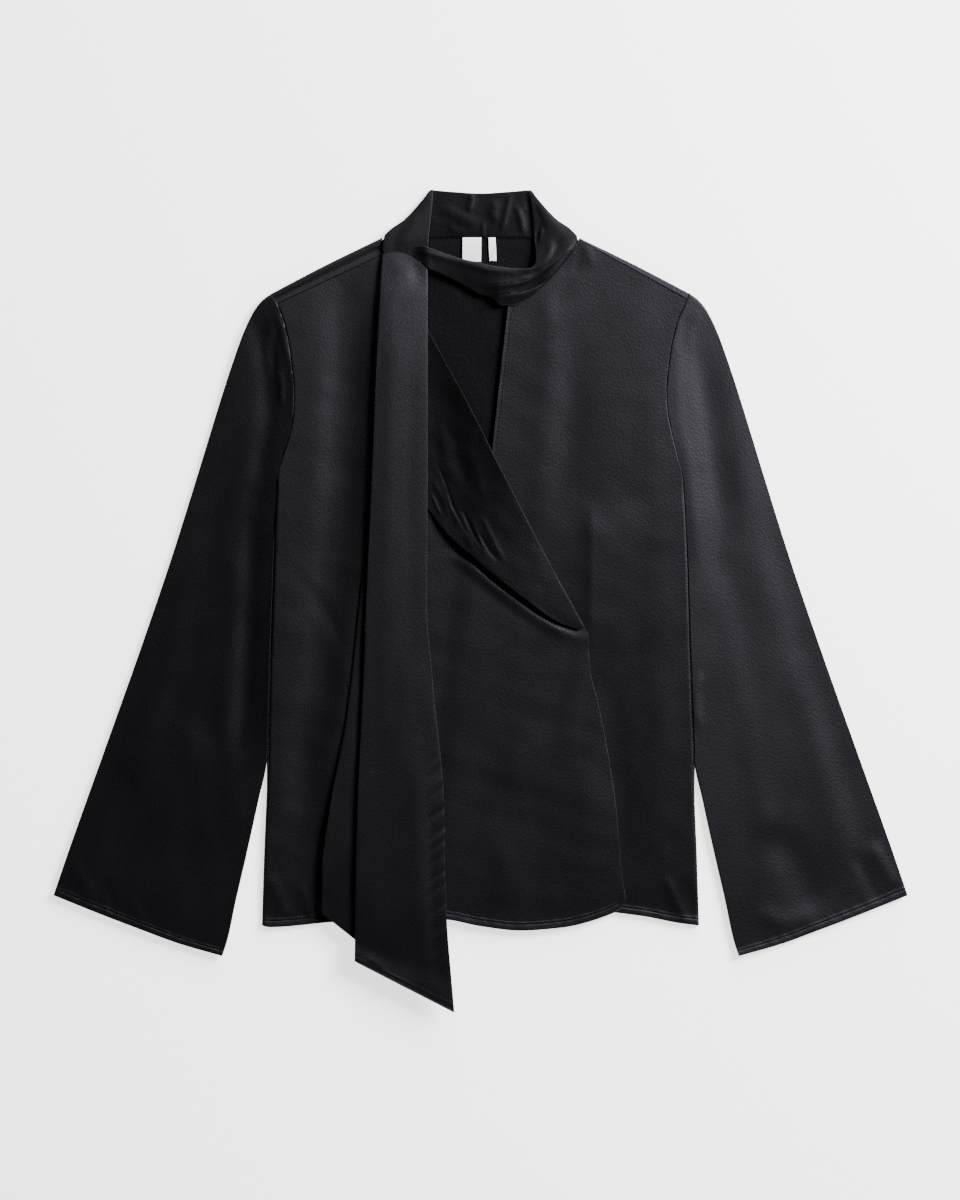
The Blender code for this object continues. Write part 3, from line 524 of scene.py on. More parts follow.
@dataclass(frozen=True)
class SatinFinish:
    """Black satin: its colour, how glossy it is, and the size and depth of its weave and fine crinkles."""

    name: str
    slot: str
    colour: tuple[float, float, float]
    roughness: float = 0.5
    gloss: float = 0.24
    anisotropy: float = 0.5
    sheen: float = 0.004
    crinkle: float = 1.0
    weave: float = 1.0
    fleck: float = 0.002

    def material(self) -> bpy.types.Material:
        """Builds the material.

        Returns:
            The finished material.
        """
        material = bpy.data.materials.new(self.name)
        material.use_nodes = True
        nodes, links = material.node_tree.nodes, material.node_tree.links
        shader = nodes["Principled BSDF"]
        shader.inputs["Metallic"].default_value = 0.0
        shader.inputs["Specular IOR Level"].default_value = self.gloss
        shader.inputs["Specular Tint"].default_value = (0.87, 0.83, 1.0, 1.0)
        shader.inputs["Anisotropic"].default_value = self.anisotropy
        shader.inputs["Sheen Weight"].default_value = self.sheen
        shader.inputs["Sheen Roughness"].default_value = 0.45
        shader.inputs["Sheen Tint"].default_value = (0.6, 0.62, 0.72, 1.0)
        place = nodes.new("ShaderNodeUVMap")
        place.uv_map = "grain"
        tangent = nodes.new("ShaderNodeTangent")
        tangent.direction_type = "UV_MAP"
        tangent.uv_map = "grain"
        links.new(tangent.outputs["Tangent"], shader.inputs["Tangent"])

        def noise(scale: float, stretch: float, detail: float, rough: float = 0.5) -> bpy.types.NodeSocket:
            mapping = nodes.new("ShaderNodeMapping")
            mapping.inputs["Scale"].default_value = (scale, scale / stretch, scale)
            texture = nodes.new("ShaderNodeTexNoise")
            texture.inputs["Scale"].default_value = 1.0
            texture.inputs["Detail"].default_value = detail
            texture.inputs["Roughness"].default_value = rough
            links.new(place.outputs["UV"], mapping.inputs["Vector"])
            links.new(mapping.outputs["Vector"], texture.inputs["Vector"])
            return texture.outputs["Fac"]

        def spread(source: bpy.types.NodeSocket, low: float, high: float) -> bpy.types.NodeSocket:
            ranged = nodes.new("ShaderNodeMapRange")
            ranged.inputs["From Min"].default_value = 0.3
            ranged.inputs["From Max"].default_value = 0.7
            ranged.inputs["To Min"].default_value = low
            ranged.inputs["To Max"].default_value = high
            links.new(source, ranged.inputs["Value"])
            return ranged.outputs["Result"]

        mottle = noise(30.0, 1.6, 3.0)
        links.new(spread(mottle, self.roughness - 0.02, self.roughness + 0.03), shader.inputs["Roughness"])
        tint = nodes.new("ShaderNodeMix")
        tint.data_type = "RGBA"
        tint.inputs["A"].default_value = (*self.colour, 1.0)
        tint.inputs["B"].default_value = (*(c + self.fleck for c in self.colour), 1.0)
        links.new(spread(noise(620.0, 1.5, 2.0, 0.7), 0.0, 1.0), tint.inputs["Factor"])
        links.new(tint.outputs["Result"], shader.inputs["Base Color"])
        threads = nodes.new("ShaderNodeBump")
        threads.inputs["Strength"].default_value = 1.0
        threads.inputs["Distance"].default_value = 0.00026 * self.weave
        links.new(noise(560.0, 1.5, 2.0, 0.6), threads.inputs["Height"])
        crinkles = nodes.new("ShaderNodeBump")
        crinkles.inputs["Strength"].default_value = 1.0
        crinkles.inputs["Distance"].default_value = 0.0001 * self.crinkle
        links.new(noise(150.0, 1.7, 4.0, 0.55), crinkles.inputs["Height"])
        links.new(threads.outputs["Normal"], crinkles.inputs["Normal"])
        links.new(crinkles.outputs["Normal"], shader.inputs["Normal"])
        return material


@dataclass(frozen=True)
class TapeFinish:
    """White woven tape: fine ribs across it, with a little unevenness of colour."""

    name: str
    slot: str
    colour: tuple[float, float, float]

    def material(self) -> bpy.types.Material:
        """Builds the material.

        Returns:
            The finished material.
        """
        material = bpy.data.materials.new(self.name)
        material.use_nodes = True
        nodes, links = material.node_tree.nodes, material.node_tree.links
        shader = nodes["Principled BSDF"]
        shader.inputs["Roughness"].default_value = 0.75
        shader.inputs["Sheen Weight"].default_value = 0.15
        place = nodes.new("ShaderNodeTexCoord")
        ribs = nodes.new("ShaderNodeTexWave")
        ribs.bands_direction = "Y"
        ribs.inputs["Scale"].default_value = 480.0
        ribs.inputs["Distortion"].default_value = 0.6
        links.new(place.outputs["Object"], ribs.inputs["Vector"])
        lines = nodes.new("ShaderNodeBump")
        lines.inputs["Strength"].default_value = 0.6
        lines.inputs["Distance"].default_value = 0.00006
        links.new(ribs.outputs["Fac"], lines.inputs["Height"])
        links.new(lines.outputs["Normal"], shader.inputs["Normal"])
        tint = nodes.new("ShaderNodeMix")
        tint.data_type = "RGBA"
        tint.inputs["A"].default_value = (*self.colour, 1.0)
        tint.inputs["B"].default_value = (*(c * 0.9 for c in self.colour), 1.0)
        links.new(ribs.outputs["Fac"], tint.inputs["Factor"])
        links.new(tint.outputs["Result"], shader.inputs["Base Color"])
        return material


FACE_SATIN = SatinFinish("face_satin", "face", (0.0001, 0.0001, 0.0003))
SCARF_SATIN = SatinFinish("scarf_satin", "scarf", (0.0001, 0.0001, 0.0003), crinkle=0.8)
INSIDE_SATIN = SatinFinish("inside_satin", "face", (0.0001, 0.0001, 0.0002), gloss=0.065, crinkle=2.2)
FACING_SATIN = SatinFinish("facing_satin", "face", (0.0001, 0.0001, 0.0002), gloss=0.1, crinkle=1.4)
COLLAR_SATIN = SatinFinish("collar_satin", "scarf", (0.0001, 0.0001, 0.0003), gloss=0.14, crinkle=1.2)
COLLAR_INSIDE = SatinFinish("collar_inside", "scarf", (0.0001, 0.0001, 0.0003), gloss=0.15, crinkle=2.8)
THREAD = SatinFinish("thread_satin", "face", (0.003, 0.003, 0.004), roughness=0.35, crinkle=0.0, weave=0.0)
LABEL_TAPE = TapeFinish("label_tape", "label", (0.8, 0.8, 0.79))
FINISHES = (FACE_SATIN, SCARF_SATIN, COLLAR_SATIN, INSIDE_SATIN, FACING_SATIN, COLLAR_INSIDE, THREAD, LABEL_TAPE)


@dataclass
class Cloth:
    """One piece of cloth on its lattice of outer points."""

    name: str
    outer: np.ndarray
    thickness: float
    finish: SatinFinish | TapeFinish
    closed: bool = False
    facing: float = 1.0
    lowest: float | None = None
    raised: np.ndarray | None = None
    kept: np.ndarray | None = None
    grain: float = 0.0
    lining: SatinFinish | None = None
    chart: np.ndarray | None = None

    def normals(self) -> np.ndarray:
        """Unit normals of the lattice, away from the inside of the cloth."""
        points = self.outer
        if not self.closed:
            normal = np.cross(np.gradient(points, axis=1), np.gradient(points, axis=0))
            normal /= np.maximum(np.linalg.norm(normal, axis=2, keepdims=True), 1e-9)
            return normal * np.sign(normal[..., 2].sum() * self.facing)
        half = self.top_columns
        rest = points.shape[1] - half
        layer = np.gradient(points[:, :half, :2], axis=1)
        back = np.gradient(points[:, [0, *range(points.shape[1] - 1, half - 2, -1)], :2], axis=1)[:, 1 : rest + 1]
        layer = np.concatenate([layer, back[:, ::-1]], axis=1)
        layer /= np.maximum(np.linalg.norm(layer, axis=2, keepdims=True), 1e-9)
        step = np.roll(points, -1, axis=1) - np.roll(points, 1, axis=1)
        ahead = (step[..., :2] * layer).sum(axis=2)
        normal = np.dstack([-layer * step[..., 2:], ahead])
        return normal / np.maximum(np.linalg.norm(normal, axis=2, keepdims=True), 1e-9)

    top_columns: int = 0

    def build(self) -> bpy.types.Object:
        """Makes the shell: an outer and an inner face, rims on every open edge, and a map of the cloth's grain.

        Returns:
            The finished piece.
        """
        out = self.normals()
        inner = self.outer - out * self.thickness
        if self.lowest is not None:
            inner[..., 2] = np.maximum(inner[..., 2], self.lowest)
        outer = self.outer if self.raised is None else self.outer + out * self.raised[..., None]
        rows, columns = outer.shape[:2]
        across = columns if self.closed else columns - 1
        kept = np.ones((rows - 1, across), bool) if self.kept is None else self.kept
        i, j = np.nonzero(kept)
        right = (j + 1) % columns
        cell = np.column_stack([i * columns + j, i * columns + right, (i + 1) * columns + right, (i + 1) * columns + j])
        count = rows * columns
        faces = [cell, cell[:, ::-1] + count]
        ring = np.pad(kept, ((1, 1), (0, 0)))
        ring = np.concatenate([ring[:, -1:], ring, ring[:, :1]], axis=1) if self.closed else np.pad(ring, ((0, 0), (1, 1)))
        neighbours = (ring[i, j + 1], ring[i + 1, j + 2], ring[i + 2, j + 1], ring[i + 1, j])
        for side, near in enumerate(neighbours):
            a, b = cell[~near, side], cell[~near, (side + 1) % 4]
            faces.append(np.column_stack([b, a, a + count, b + count]))
        lined = np.zeros(sum(len(part) for part in faces), int)
        lined[len(cell) : 2 * len(cell)] = 1
        faces = np.concatenate(faces)
        points = np.concatenate([outer.reshape(-1, 3), inner.reshape(-1, 3)])
        plan = self.plan()
        piece = self.mesh(points * MM, faces, np.concatenate([plan, plan]) * MM)
        if self.lining is not None:
            piece.data.materials.append(bpy.data.materials[self.lining.name])
            piece.data.polygons.foreach_set("material_index", lined)
        return piece

    def plan(self) -> np.ndarray:
        """Where each point lies on the cloth, turned to the cloth's grain."""
        if self.chart is not None:
            return self.chart.reshape(-1, 2)
        turn = math.radians(self.grain)
        x, y = self.outer[..., 0].ravel(), self.outer[..., 1].ravel()
        across = x * math.cos(turn) + y * math.sin(turn)
        along = y * math.cos(turn) - x * math.sin(turn)
        return np.column_stack([across, along])

    def mesh(self, points: np.ndarray, faces: np.ndarray, plan: np.ndarray) -> bpy.types.Object:
        """Puts points and faces in the scene as one closed piece.

        Args:
            points: The points in metres.
            faces: Four point numbers for each face.
            plan: The grain map of each point.

        Returns:
            The piece, with its faces outwards.
        """
        used, faces = np.unique(faces, return_inverse=True)
        faces = faces.reshape(-1, 4)
        points, plan = points[used], plan[used]
        a, b, c, d = (points[faces[:, k]] for k in range(4))
        volume = (np.cross(b, c) * a).sum() + (np.cross(c, d) * a).sum()
        if volume < 0:
            faces = faces[:, ::-1]
        mesh = bpy.data.meshes.new(self.name)
        mesh.from_pydata(points.tolist(), [], faces.tolist())
        grain = mesh.uv_layers.new(name="grain")
        grain.data.foreach_set("uv", plan[faces.ravel()].astype(np.float32).ravel())
        mesh.materials.append(bpy.data.materials[self.finish.name])
        mesh.shade_smooth()
        mesh.set_sharp_from_angle(angle=math.radians(50))
        piece = bpy.data.objects.new(self.name, mesh)
        bpy.context.scene.collection.objects.link(piece)
        return piece


class Wardrobe:
    """Builds every piece, attaches it to the body and hides the solid that it stands for."""

    def __init__(self) -> None:
        """Makes the materials."""
        for finish in FINISHES:
            finish.material()

    def keep(self, cloth: Cloth, node: str) -> None:
        """Args:
            cloth: The cloth.
            node: The solid that it stands for.
        """
        piece = cloth.build()
        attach(piece, BODY)
        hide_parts(node)


class BodyLines:
    """The lines that the body's panels share."""

    @staticmethod
    def side(side: Side, top_up: float) -> list[Place]:
        """The side seam and the armhole as one line, from the hem to the given height."""
        column = 1 if side is Side.RIGHT else 2
        rows = [*SIDE_ROWS, *(row for row in ARMHOLE_ROWS[1:] if row[0] < top_up - 2.0)]
        heights = [row[0] for row in ARMHOLE_ROWS]
        end = float(np.interp(top_up, heights, [row[column] for row in ARMHOLE_ROWS]))
        return [*(Place(row[column], row[0]) for row in rows), Place(end, top_up)]

    @staticmethod
    def shoulder_seam(side: Side) -> Curve:
        """The line where a front meets the back, from the armhole to the neck."""
        end = BodyLines.side(side, SHOULDER_SEAM_UP[side])[-1]
        return through([end, Place(NECK_SIDE_X * side.value, SHOULDER_SEAM_AT_NECK_Y[side])])

    @staticmethod
    def front_top(side: Side) -> Curve:
        """The top edge of a front along its shoulder seam."""
        end = BodyLines.shoulder_seam(side)(np.array(1.0))
        start = BodyLines.side(side, SHOULDER_SEAM_UP[side] - SEAM)[-1]
        return through([start, Place(end[0], end[1] - SEAM)])


@dataclass
class BackPanel:
    """The back, flat underneath, with its shoulders rolled over to the front."""

    columns: int = 76
    rows: int = 120
    turns: int = 12
    reach: float = 1.4

    def shoulder_fold(self, side: Side) -> Curve:
        """The fold of one shoulder."""
        return through(on_side(SHOULDER_FOLD, side))

    def side_line(self, side: Side, top_up: float) -> list[Place]:
        """The side edge, which reaches a little under the sleeve where the two touch."""
        return [
            Place(x + side.value * self.reach, y) if -150.0 < y < 116.0 else Place(x, y)
            for x, y in BodyLines.side(side, top_up)
        ]

    def make(self, wardrobe: Wardrobe) -> None:
        """Builds the back."""
        half = FRONT_TOP / 2.0
        inset = half / math.cos(math.radians(26.7))
        edges = {}
        for side in Side:
            points = on_side(SHOULDER_FOLD, side)
            start = BodyLines.side(side, points[0].y - inset)[-1]
            edges[side] = through([start, *shifted(points[1:], y=-inset)])
        low, high = BACK_NECK_Y - inset, BACK_NECK_Y
        x = NECK_SIDE_X
        neck = through([(-x, low), (-x + 1.5, high), (x - 1.5, high), (x, low)])
        left_edge = edges[Side.LEFT]
        top = joined(
            (edges[Side.RIGHT], NECK_SHARE), (neck, 1 - NECK_SHARE), (lambda share: left_edge(1.0 - share), 1.0)
        )
        sides = [through(self.side_line(side, SHOULDER_FOLD[0].y - inset)) for side in Side]
        place = patch(through(HEM_BACK), top, *sides)
        outside = self.columns // 3
        across = np.concatenate(
            [
                np.linspace(0, NECK_SHARE, outside),
                np.linspace(NECK_SHARE, 1 - NECK_SHARE, outside + 2)[1:-1],
                np.linspace(1 - NECK_SHARE, 1, outside),
            ]
        )
        up = spaced(650.0, 650.0 / self.rows, HEM_STEPS, (0.0, 1.0, 3.0))
        u, v = np.meshgrid(across, up)
        xy = place(u, v)
        wrinkles = Rumple(10, 0.3, 8.0, 44.0, spread=60.0).heights(xy[..., 0], xy[..., 1])
        open_part = step_up(xy[..., 1], 80.0, 150.0) * step_up(344.0 - xy[..., 1], 0.0, 5.0)
        open_part = open_part * step_up(70.0 - abs(xy[..., 0]), 0.0, 15.0)
        flat = np.dstack([xy, np.clip(0.28 + wrinkles, 0.0, 0.6) * open_part])
        strips = []
        for angle in np.linspace(0.0, math.pi, self.turns + 1)[1:]:
            strips.append(self.turned_row(flat[-1], across, half, angle, None))
        for share_in in (0.1, 0.2, 0.3, 0.4, 0.5, 0.6, 0.7, 0.8, 0.87, 0.93, 0.97, 1.0):
            strips.append(self.turned_row(flat[-1], across, half, math.pi, share_in))
        outer = np.concatenate([flat, np.array(strips)])
        kept = np.ones((outer.shape[0] - 1, outer.shape[1] - 1), bool)
        shoulder = (across[:-1] < NECK_SHARE - 1e-9) | (across[1:] > 1 - NECK_SHARE + 1e-9)
        kept[len(up) - 1 :] = shoulder
        cloth = Cloth("back_cloth", outer, SHELL, FACE_SATIN, kept=kept, facing=-1.0, lining=INSIDE_SATIN)
        wardrobe.keep(cloth, "back_panel")

    def turned_row(
        self, row: np.ndarray, across: np.ndarray, half: float, angle: float, share_in: float | None
    ) -> np.ndarray:
        """One row of the shoulders' roll.

        Args:
            row: The last flat row.
            across: The shares of its points.
            half: The radius of the roll.
            angle: How far round the roll this row is.
            share_in: How far on the row is from the roll to the seam, once the roll ends.

        Returns:
            The row, which repeats the flat one where there is no shoulder.
        """
        turned = row.copy()
        for j, share in enumerate(across):
            side = Side.RIGHT if share < 0.5 else Side.LEFT
            along = share / NECK_SHARE if side is Side.RIGHT else (1.0 - share) / NECK_SHARE
            if along > 1.0 + 1e-9:
                continue
            edge = self.shoulder_fold(side)(np.array(min(along, 1.0)))
            seam = BodyLines.shoulder_seam(side)(np.array(min(along, 1.0)))
            width = np.linalg.norm(seam - edge)
            start = min(half / 0.893 / width, 0.5)
            upper = 0.22 * (1.0 - math.sin(angle)) if angle > math.pi / 2 else 0.0
            reach = start * (1.0 - math.sin(angle)) if angle <= math.pi / 2 else upper
            if share_in is not None:
                reach = 0.22 + 0.78 * share_in
            turned[j, :2] = edge + (seam - edge) * reach
            rise = 0.74 * float(rounded(reach * width, 1.3)) + 0.26 * reach
            if side is Side.RIGHT:
                rise = float(rounded(reach * width, 1.3)) - 0.55 * float(bump(reach, 0.62, 0.25))
            drop = 0.0 if share_in is None else 0.5 * max(share_in - 0.9, 0.0) / 0.1
            turned[j, 2] = half - half * math.cos(angle) if angle <= math.pi / 2 else half + half * rise - drop
        return turned


@dataclass
class FrontPanel:
    """What the two fronts share: their height above the back, and the way their edges are finished."""

    creases: tuple[Crease, ...]
    rumple: Rumple
    pitch: float = 3.4

    def level(self, x: np.ndarray, y: np.ndarray) -> np.ndarray:
        """Height of the upper face, without its edges."""
        hem = 1.2 * step_up(-y, 262.0, 300.0)
        return FRONT_TOP - hem + creased(self.creases, x, y) + self.rumple.heights(x, y)

    def hem(self, from_hem: np.ndarray, along: np.ndarray) -> np.ndarray:
        """The turned hem: a raised band, the dent of its stitches and small puckers beside them."""
        band = HEM_RISE * (1.0 - step_up(from_hem, HEM_WIDTH - 0.4, HEM_WIDTH + 1.0))
        dent = 0.4 * bump(from_hem, STITCH_LINE, 0.8)
        pucker = 0.16 * np.sin(along / 2.3 + 1.4 * np.sin(along / 9.0)) * bump(from_hem, STITCH_LINE + 1.0, 3.5)
        turned = 0.55 * np.clip(1.0 - from_hem / HEM_WIDTH, 0.0, 1.0)
        return band - dent + pucker + turned

    def seam_rim(self, y: np.ndarray, level: np.ndarray) -> np.ndarray:
        """Height of the side edge: on the back at the side seam, and up beside the sleeve at the armhole."""
        return FRONT_RIM + (level - 0.7 - FRONT_RIM) * step_up(y, 100.0, 124.0)

    def lattice(self, place: Callable, length: float, width: float, level: Callable, side: Side) -> tuple:
        """The points of a front.

        Args:
            place: The plan of the panel, as a patch.
            length: Its length along the side seam.
            width: Its width at the hem.
            level: The height of its upper face.
            side: The wearer's side that it is on.

        Returns:
            The points, and each one's distance from the free edge.
        """
        up = spaced(length, self.pitch, HEM_STEPS, (0.0, 0.4, 1.2, 2.6))
        across = spaced(width, self.pitch, EDGE_STEPS + (4.5,), EDGE_STEPS + (4.5, 7.0))
        u, v = np.meshgrid(across, up)
        xy = place(u, v)
        x, y = xy[..., 0], xy[..., 1]
        steps = np.linalg.norm(np.diff(xy, axis=1), axis=2)
        from_start = np.concatenate([np.zeros((len(up), 1)), np.cumsum(steps, axis=1)], axis=1)
        from_end = from_start[:, -1:] - from_start
        from_seam, from_free = (from_start, from_end) if side is Side.RIGHT else (from_end, from_start)
        rises = np.linalg.norm(np.diff(xy, axis=0), axis=2)
        from_hem = np.concatenate([np.zeros((1, len(across))), np.cumsum(rises, axis=0)])
        top = level(x, y)
        rim = self.seam_rim(y, top)
        turn = 3.0 - 2.0 * step_up(y, 100.0, 124.0)
        z = rim + (top - rim) * rounded(from_seam / turn, 1.0)
        z = z - 0.8 * (1.0 - rounded(from_free, 0.8)) - 0.8 * (1.0 - rounded(from_hem, 0.9))
        z = z + self.hem(from_hem, from_start) * rounded(from_seam, 4.0) * rounded(from_free, 2.0)
        return np.dstack([xy, z]), from_free, from_hem


@dataclass
class LeftFront(FrontPanel):
    """The left front, under the wrap, with its straight stitched centre edge."""

    creases: tuple[Crease, ...] = (
        Crease(((68, 296), (64, 200), (56, 84)), 13, 1.0, 1.2),
        Crease(((88, 262), (84, 170), (78, 84)), 15, -0.8),
        Crease(((112, 240), (116, 130), (112, 28)), 18, 0.4),
        Crease(((142, 290), (140, 150), (134, 10)), 24, 0.9),
        Crease(((160, 262), (166, 120), (172, -60), (178, -220)), 18, 0.7),
        Crease(((88, 330), (78, 300), (70, 270)), 6, -0.4, 1.6),
        Crease(((94, 336), (93, 324), (90, 310)), 3.2, -0.4),
        Crease(((101, 336), (103, 328), (106, 318)), 3.4, 0.5),
        Crease(((118, -70), (132, -160), (142, -262)), 13, -0.9),
        Crease(((166, -60), (170, -160), (172, -270)), 15, 0.6),
        Crease(((176, -264), (184, -283), (194, -303)), 4.2, 1.2),
        Crease(((192, -262), (199, -282), (204, -298)), 5, -0.4),
        Crease(((105.2, 86), (104.6, 44), (104.2, 4), (103.8, -40)), 11, 2.6, 3.0, True),
    )
    rumple: Rumple = Rumple(11, 0.34, 26.0, 120.0, towards=80.0)

    def make(self, wardrobe: Wardrobe) -> None:
        """Builds the left front."""
        seam = BodyLines.front_top(Side.LEFT)
        neckline = through([CENTRE_EDGE[-1], *LEFT_NECKLINE[1:], seam(np.array(1.0))])
        top = joined((neckline, 0.45), (lambda share: seam(1.0 - share), 1.0))
        side = through(BodyLines.side(Side.LEFT, SHOULDER_SEAM_UP[Side.LEFT] - SEAM))
        place = patch(through(HEM_LEFT_FRONT), top, through(CENTRE_EDGE), side)
        outer, from_free, _ = self.lattice(place, 600.0, 246.0, self.level, Side.LEFT)
        outer[..., 2] += 0.3 * (1.0 - step_up(from_free, 4.4, 5.6)) - 0.35 * bump(from_free, 4.0, 0.7)
        cloth = Cloth("left_front_cloth", outer, SHELL, FACE_SATIN, lowest=FRONT_RIM - 0.1, grain=-5.0)
        wardrobe.keep(cloth, "left_front")


@dataclass
class RightFront(FrontPanel):
    """The right front, which wraps over, up to the roll line where its edge turns back."""

    creases: tuple[Crease, ...] = (
        Crease(((97, -38), (84, -40), (60, -35), (28, -17), (-6, 8), (-44, 40)), 8, 0.3, 2.2),
        Crease(((99, -34), (86, -32.4), (67, -24), (48, -12.6), (29, 1.6), (10, 15.8), (-9, 32), (-28, 42)), 3.8, 1.5, 1.7),
        Crease(((-95, 322), (-100, 200), (-105, 90), (-115, 0), (-129, -113), (-145, -201)), 16, 4.1, 1.6),
        Crease(((-130, 300), (-136, 200), (-141, 90), (-150, 0), (-162, -113), (-176, -190)), 14, -1.7, 1.3),
        Crease(((-150, 290), (-152, 180), (-150, 60)), 22, 0.9),
        Crease(((-176, 40), (-150, 12), (-126, -30)), 6, 0.2),
        Crease(((-172, 20), (-148, -6), (-128, -44)), 5, -0.2),
        Crease(((-166, -8), (-148, -30), (-134, -60)), 6, 0.2),
        Crease(((-182, 60), (-186, -80), (-190, -220)), 10, 0.3),
        Crease(((-168, -120), (-170, -200), (-174, -280)), 14, -0.6),
        Crease(((-200, -262), (-190, -284), (-182, -300)), 6, 0.9),
        Crease(((-172, -270), (-164, -288), (-160, -302)), 5, 0.7),
        Crease(((98, -46), (92, -90), (80, -150)), 11, 0.8),
        Crease(((92, -44), (76, -84), (58, -130)), 9, -0.7),
        Crease(((84, -42), (52, -90), (30, -170)), 14, 0.8),
        Crease(((70, -44), (30, -90), (2, -150), (-8, -250)), 14, -0.7),
        Crease(((100, -160), (104, -220), (96, -268)), 16, 1.0),
        Crease(((52, -170), (56, -230), (48, -284)), 14, -0.6),
        Crease(((20, -230), (26, -262), (22, -292)), 12, 0.7),
    )
    rumple: Rumple = Rumple(12, 0.34, 24.0, 110.0, towards=100.0)
    pitch: float = 2.5

    def lifted(self, x: np.ndarray, y: np.ndarray) -> np.ndarray:
        """Height of the upper face over the left front."""
        edge = np.array(CENTRE_EDGE, float)
        edge_x = np.interp(y, edge[:, 1], edge[:, 0])
        under = creased(LeftFront().creases, x, y) * 0.6
        hem = HEM_RISE * step_up(-y, 266.0, 284.0)
        lap = (LAP_RISE + 0.3 + hem + under) * step_up(x, edge_x - 26.0, edge_x - 1.0)
        return self.level(x, y) + lap

    def make(self, wardrobe: Wardrobe) -> None:
        """Builds the right front."""
        seam = BodyLines.front_top(Side.RIGHT)
        roll_line = through([Place(*seam(np.array(1.0))), *ROLL_LINE])
        top = joined((seam, 0.24), (roll_line, 1.0))
        side = through(BodyLines.side(Side.RIGHT, SHOULDER_SEAM_UP[Side.RIGHT] - SEAM))
        wrap = through(WRAP_EDGE)
        even_hem = lambda share: wrap(np.interp(share, [0.0, HEM_WIDTH / 592.0, 1.0], [0.0, HEM_WIDTH / 256.0, 1.0]))
        place = patch(through(HEM_RIGHT_FRONT), top, side, even_hem)
        outer, _, _ = self.lattice(place, 592.0, 346.0, self.lifted, Side.RIGHT)
        cloth = Cloth("right_front_cloth", outer, SHELL, FACE_SATIN, lowest=FRONT_RIM - 0.1)
        wardrobe.keep(cloth, "right_front")


SLEEVE_CREASES = {
    Side.LEFT: (
        Crease(((206, 262), (212, 220), (222, 150), (234, 60)), 15, -2.3, 1.3),
        Crease(((186, 244), (186, 190), (196, 130), (206, 40)), 7, 0.5),
        Crease(((196, 268), (192, 254), (188, 240)), 2.4, -0.3),
        Crease(((206, 272), (202, 258), (198, 240)), 3.0, 0.3),
        Crease(((224, 236), (244, 140), (270, 40), (300, -60)), 16, 0.8),
        Crease(((212, 120), (232, 20), (252, -90), (268, -190)), 16, -1.2),
        Crease(((268, 80), (300, -30), (336, -140), (366, -230)), 15, -0.9),
        Crease(((228, 20), (250, -90), (266, -190), (276, -260)), 13, 1.0),
        Crease(((300, -60), (330, -170), (352, -270)), 16, 1.1),
        Crease(((276, -220), (300, -250), (318, -296)), 17, -1.6),
        Crease(((262, -296), (290, -306), (320, -300)), 9, 1.0),
        Crease(((372, -232), (384, -256), (394, -274)), 7, 1.2),
        Crease(((356, -240), (368, -266), (376, -284)), 6, -0.8),
        Crease(((208, -70), (204, -90), (206, -120)), 5, 1.0),
    ),
    Side.RIGHT: (
        Crease(((-196, 292), (-184.4, 266), (-175.9, 222), (-174.6, 180), (-184, 136), (-192, 96)), 14, 3.8, 0.5, True),
        Crease(((-214, 268), (-203, 228), (-201, 180), (-209, 130), (-215, 100)), 10, -1.9),
        Crease(((-191, 216), (-188.5, 202), (-189, 186)), 2.6, 0.9),
        Crease(((-193, 272), (-187, 250), (-183, 228)), 2.0, 0.8),
        Crease(((-190, 262), (-196, 236), (-195, 214)), 2.4, -0.5),
        Crease(((-197, 268), (-203, 240), (-202, 218)), 2.6, 0.5),
        Crease(((-190, 118), (-194.5, 40), (-197.5, -50), (-200, -150)), 16, 5.0, 0.2, True),
        Crease(((-214, 100), (-219, 20), (-223, -60), (-228, -140)), 11, -2.2),
        Crease(((-222, 60), (-232, -40), (-238, -120), (-236, -200)), 12, 1.0),
        Crease(((-240, 130), (-268, 20), (-300, -90)), 18, -1.0),
        Crease(((-262, 60), (-296, -60), (-330, -170)), 15, 1.1),
        Crease(((-330, -170), (-300, -150), (-262, -130)), 26, 1.5),
        Crease(((-352, -230), (-310, -240), (-262, -232)), 26, -1.2),
        Crease(((-386, -250), (-376, -268), (-370, -282)), 6, 0.8),
        Crease(((-360, -266), (-352, -280), (-346, -294)), 6, -0.6),
        Crease(((-330, -284), (-326, -296), (-322, -306)), 5, 0.7),
    ),
}


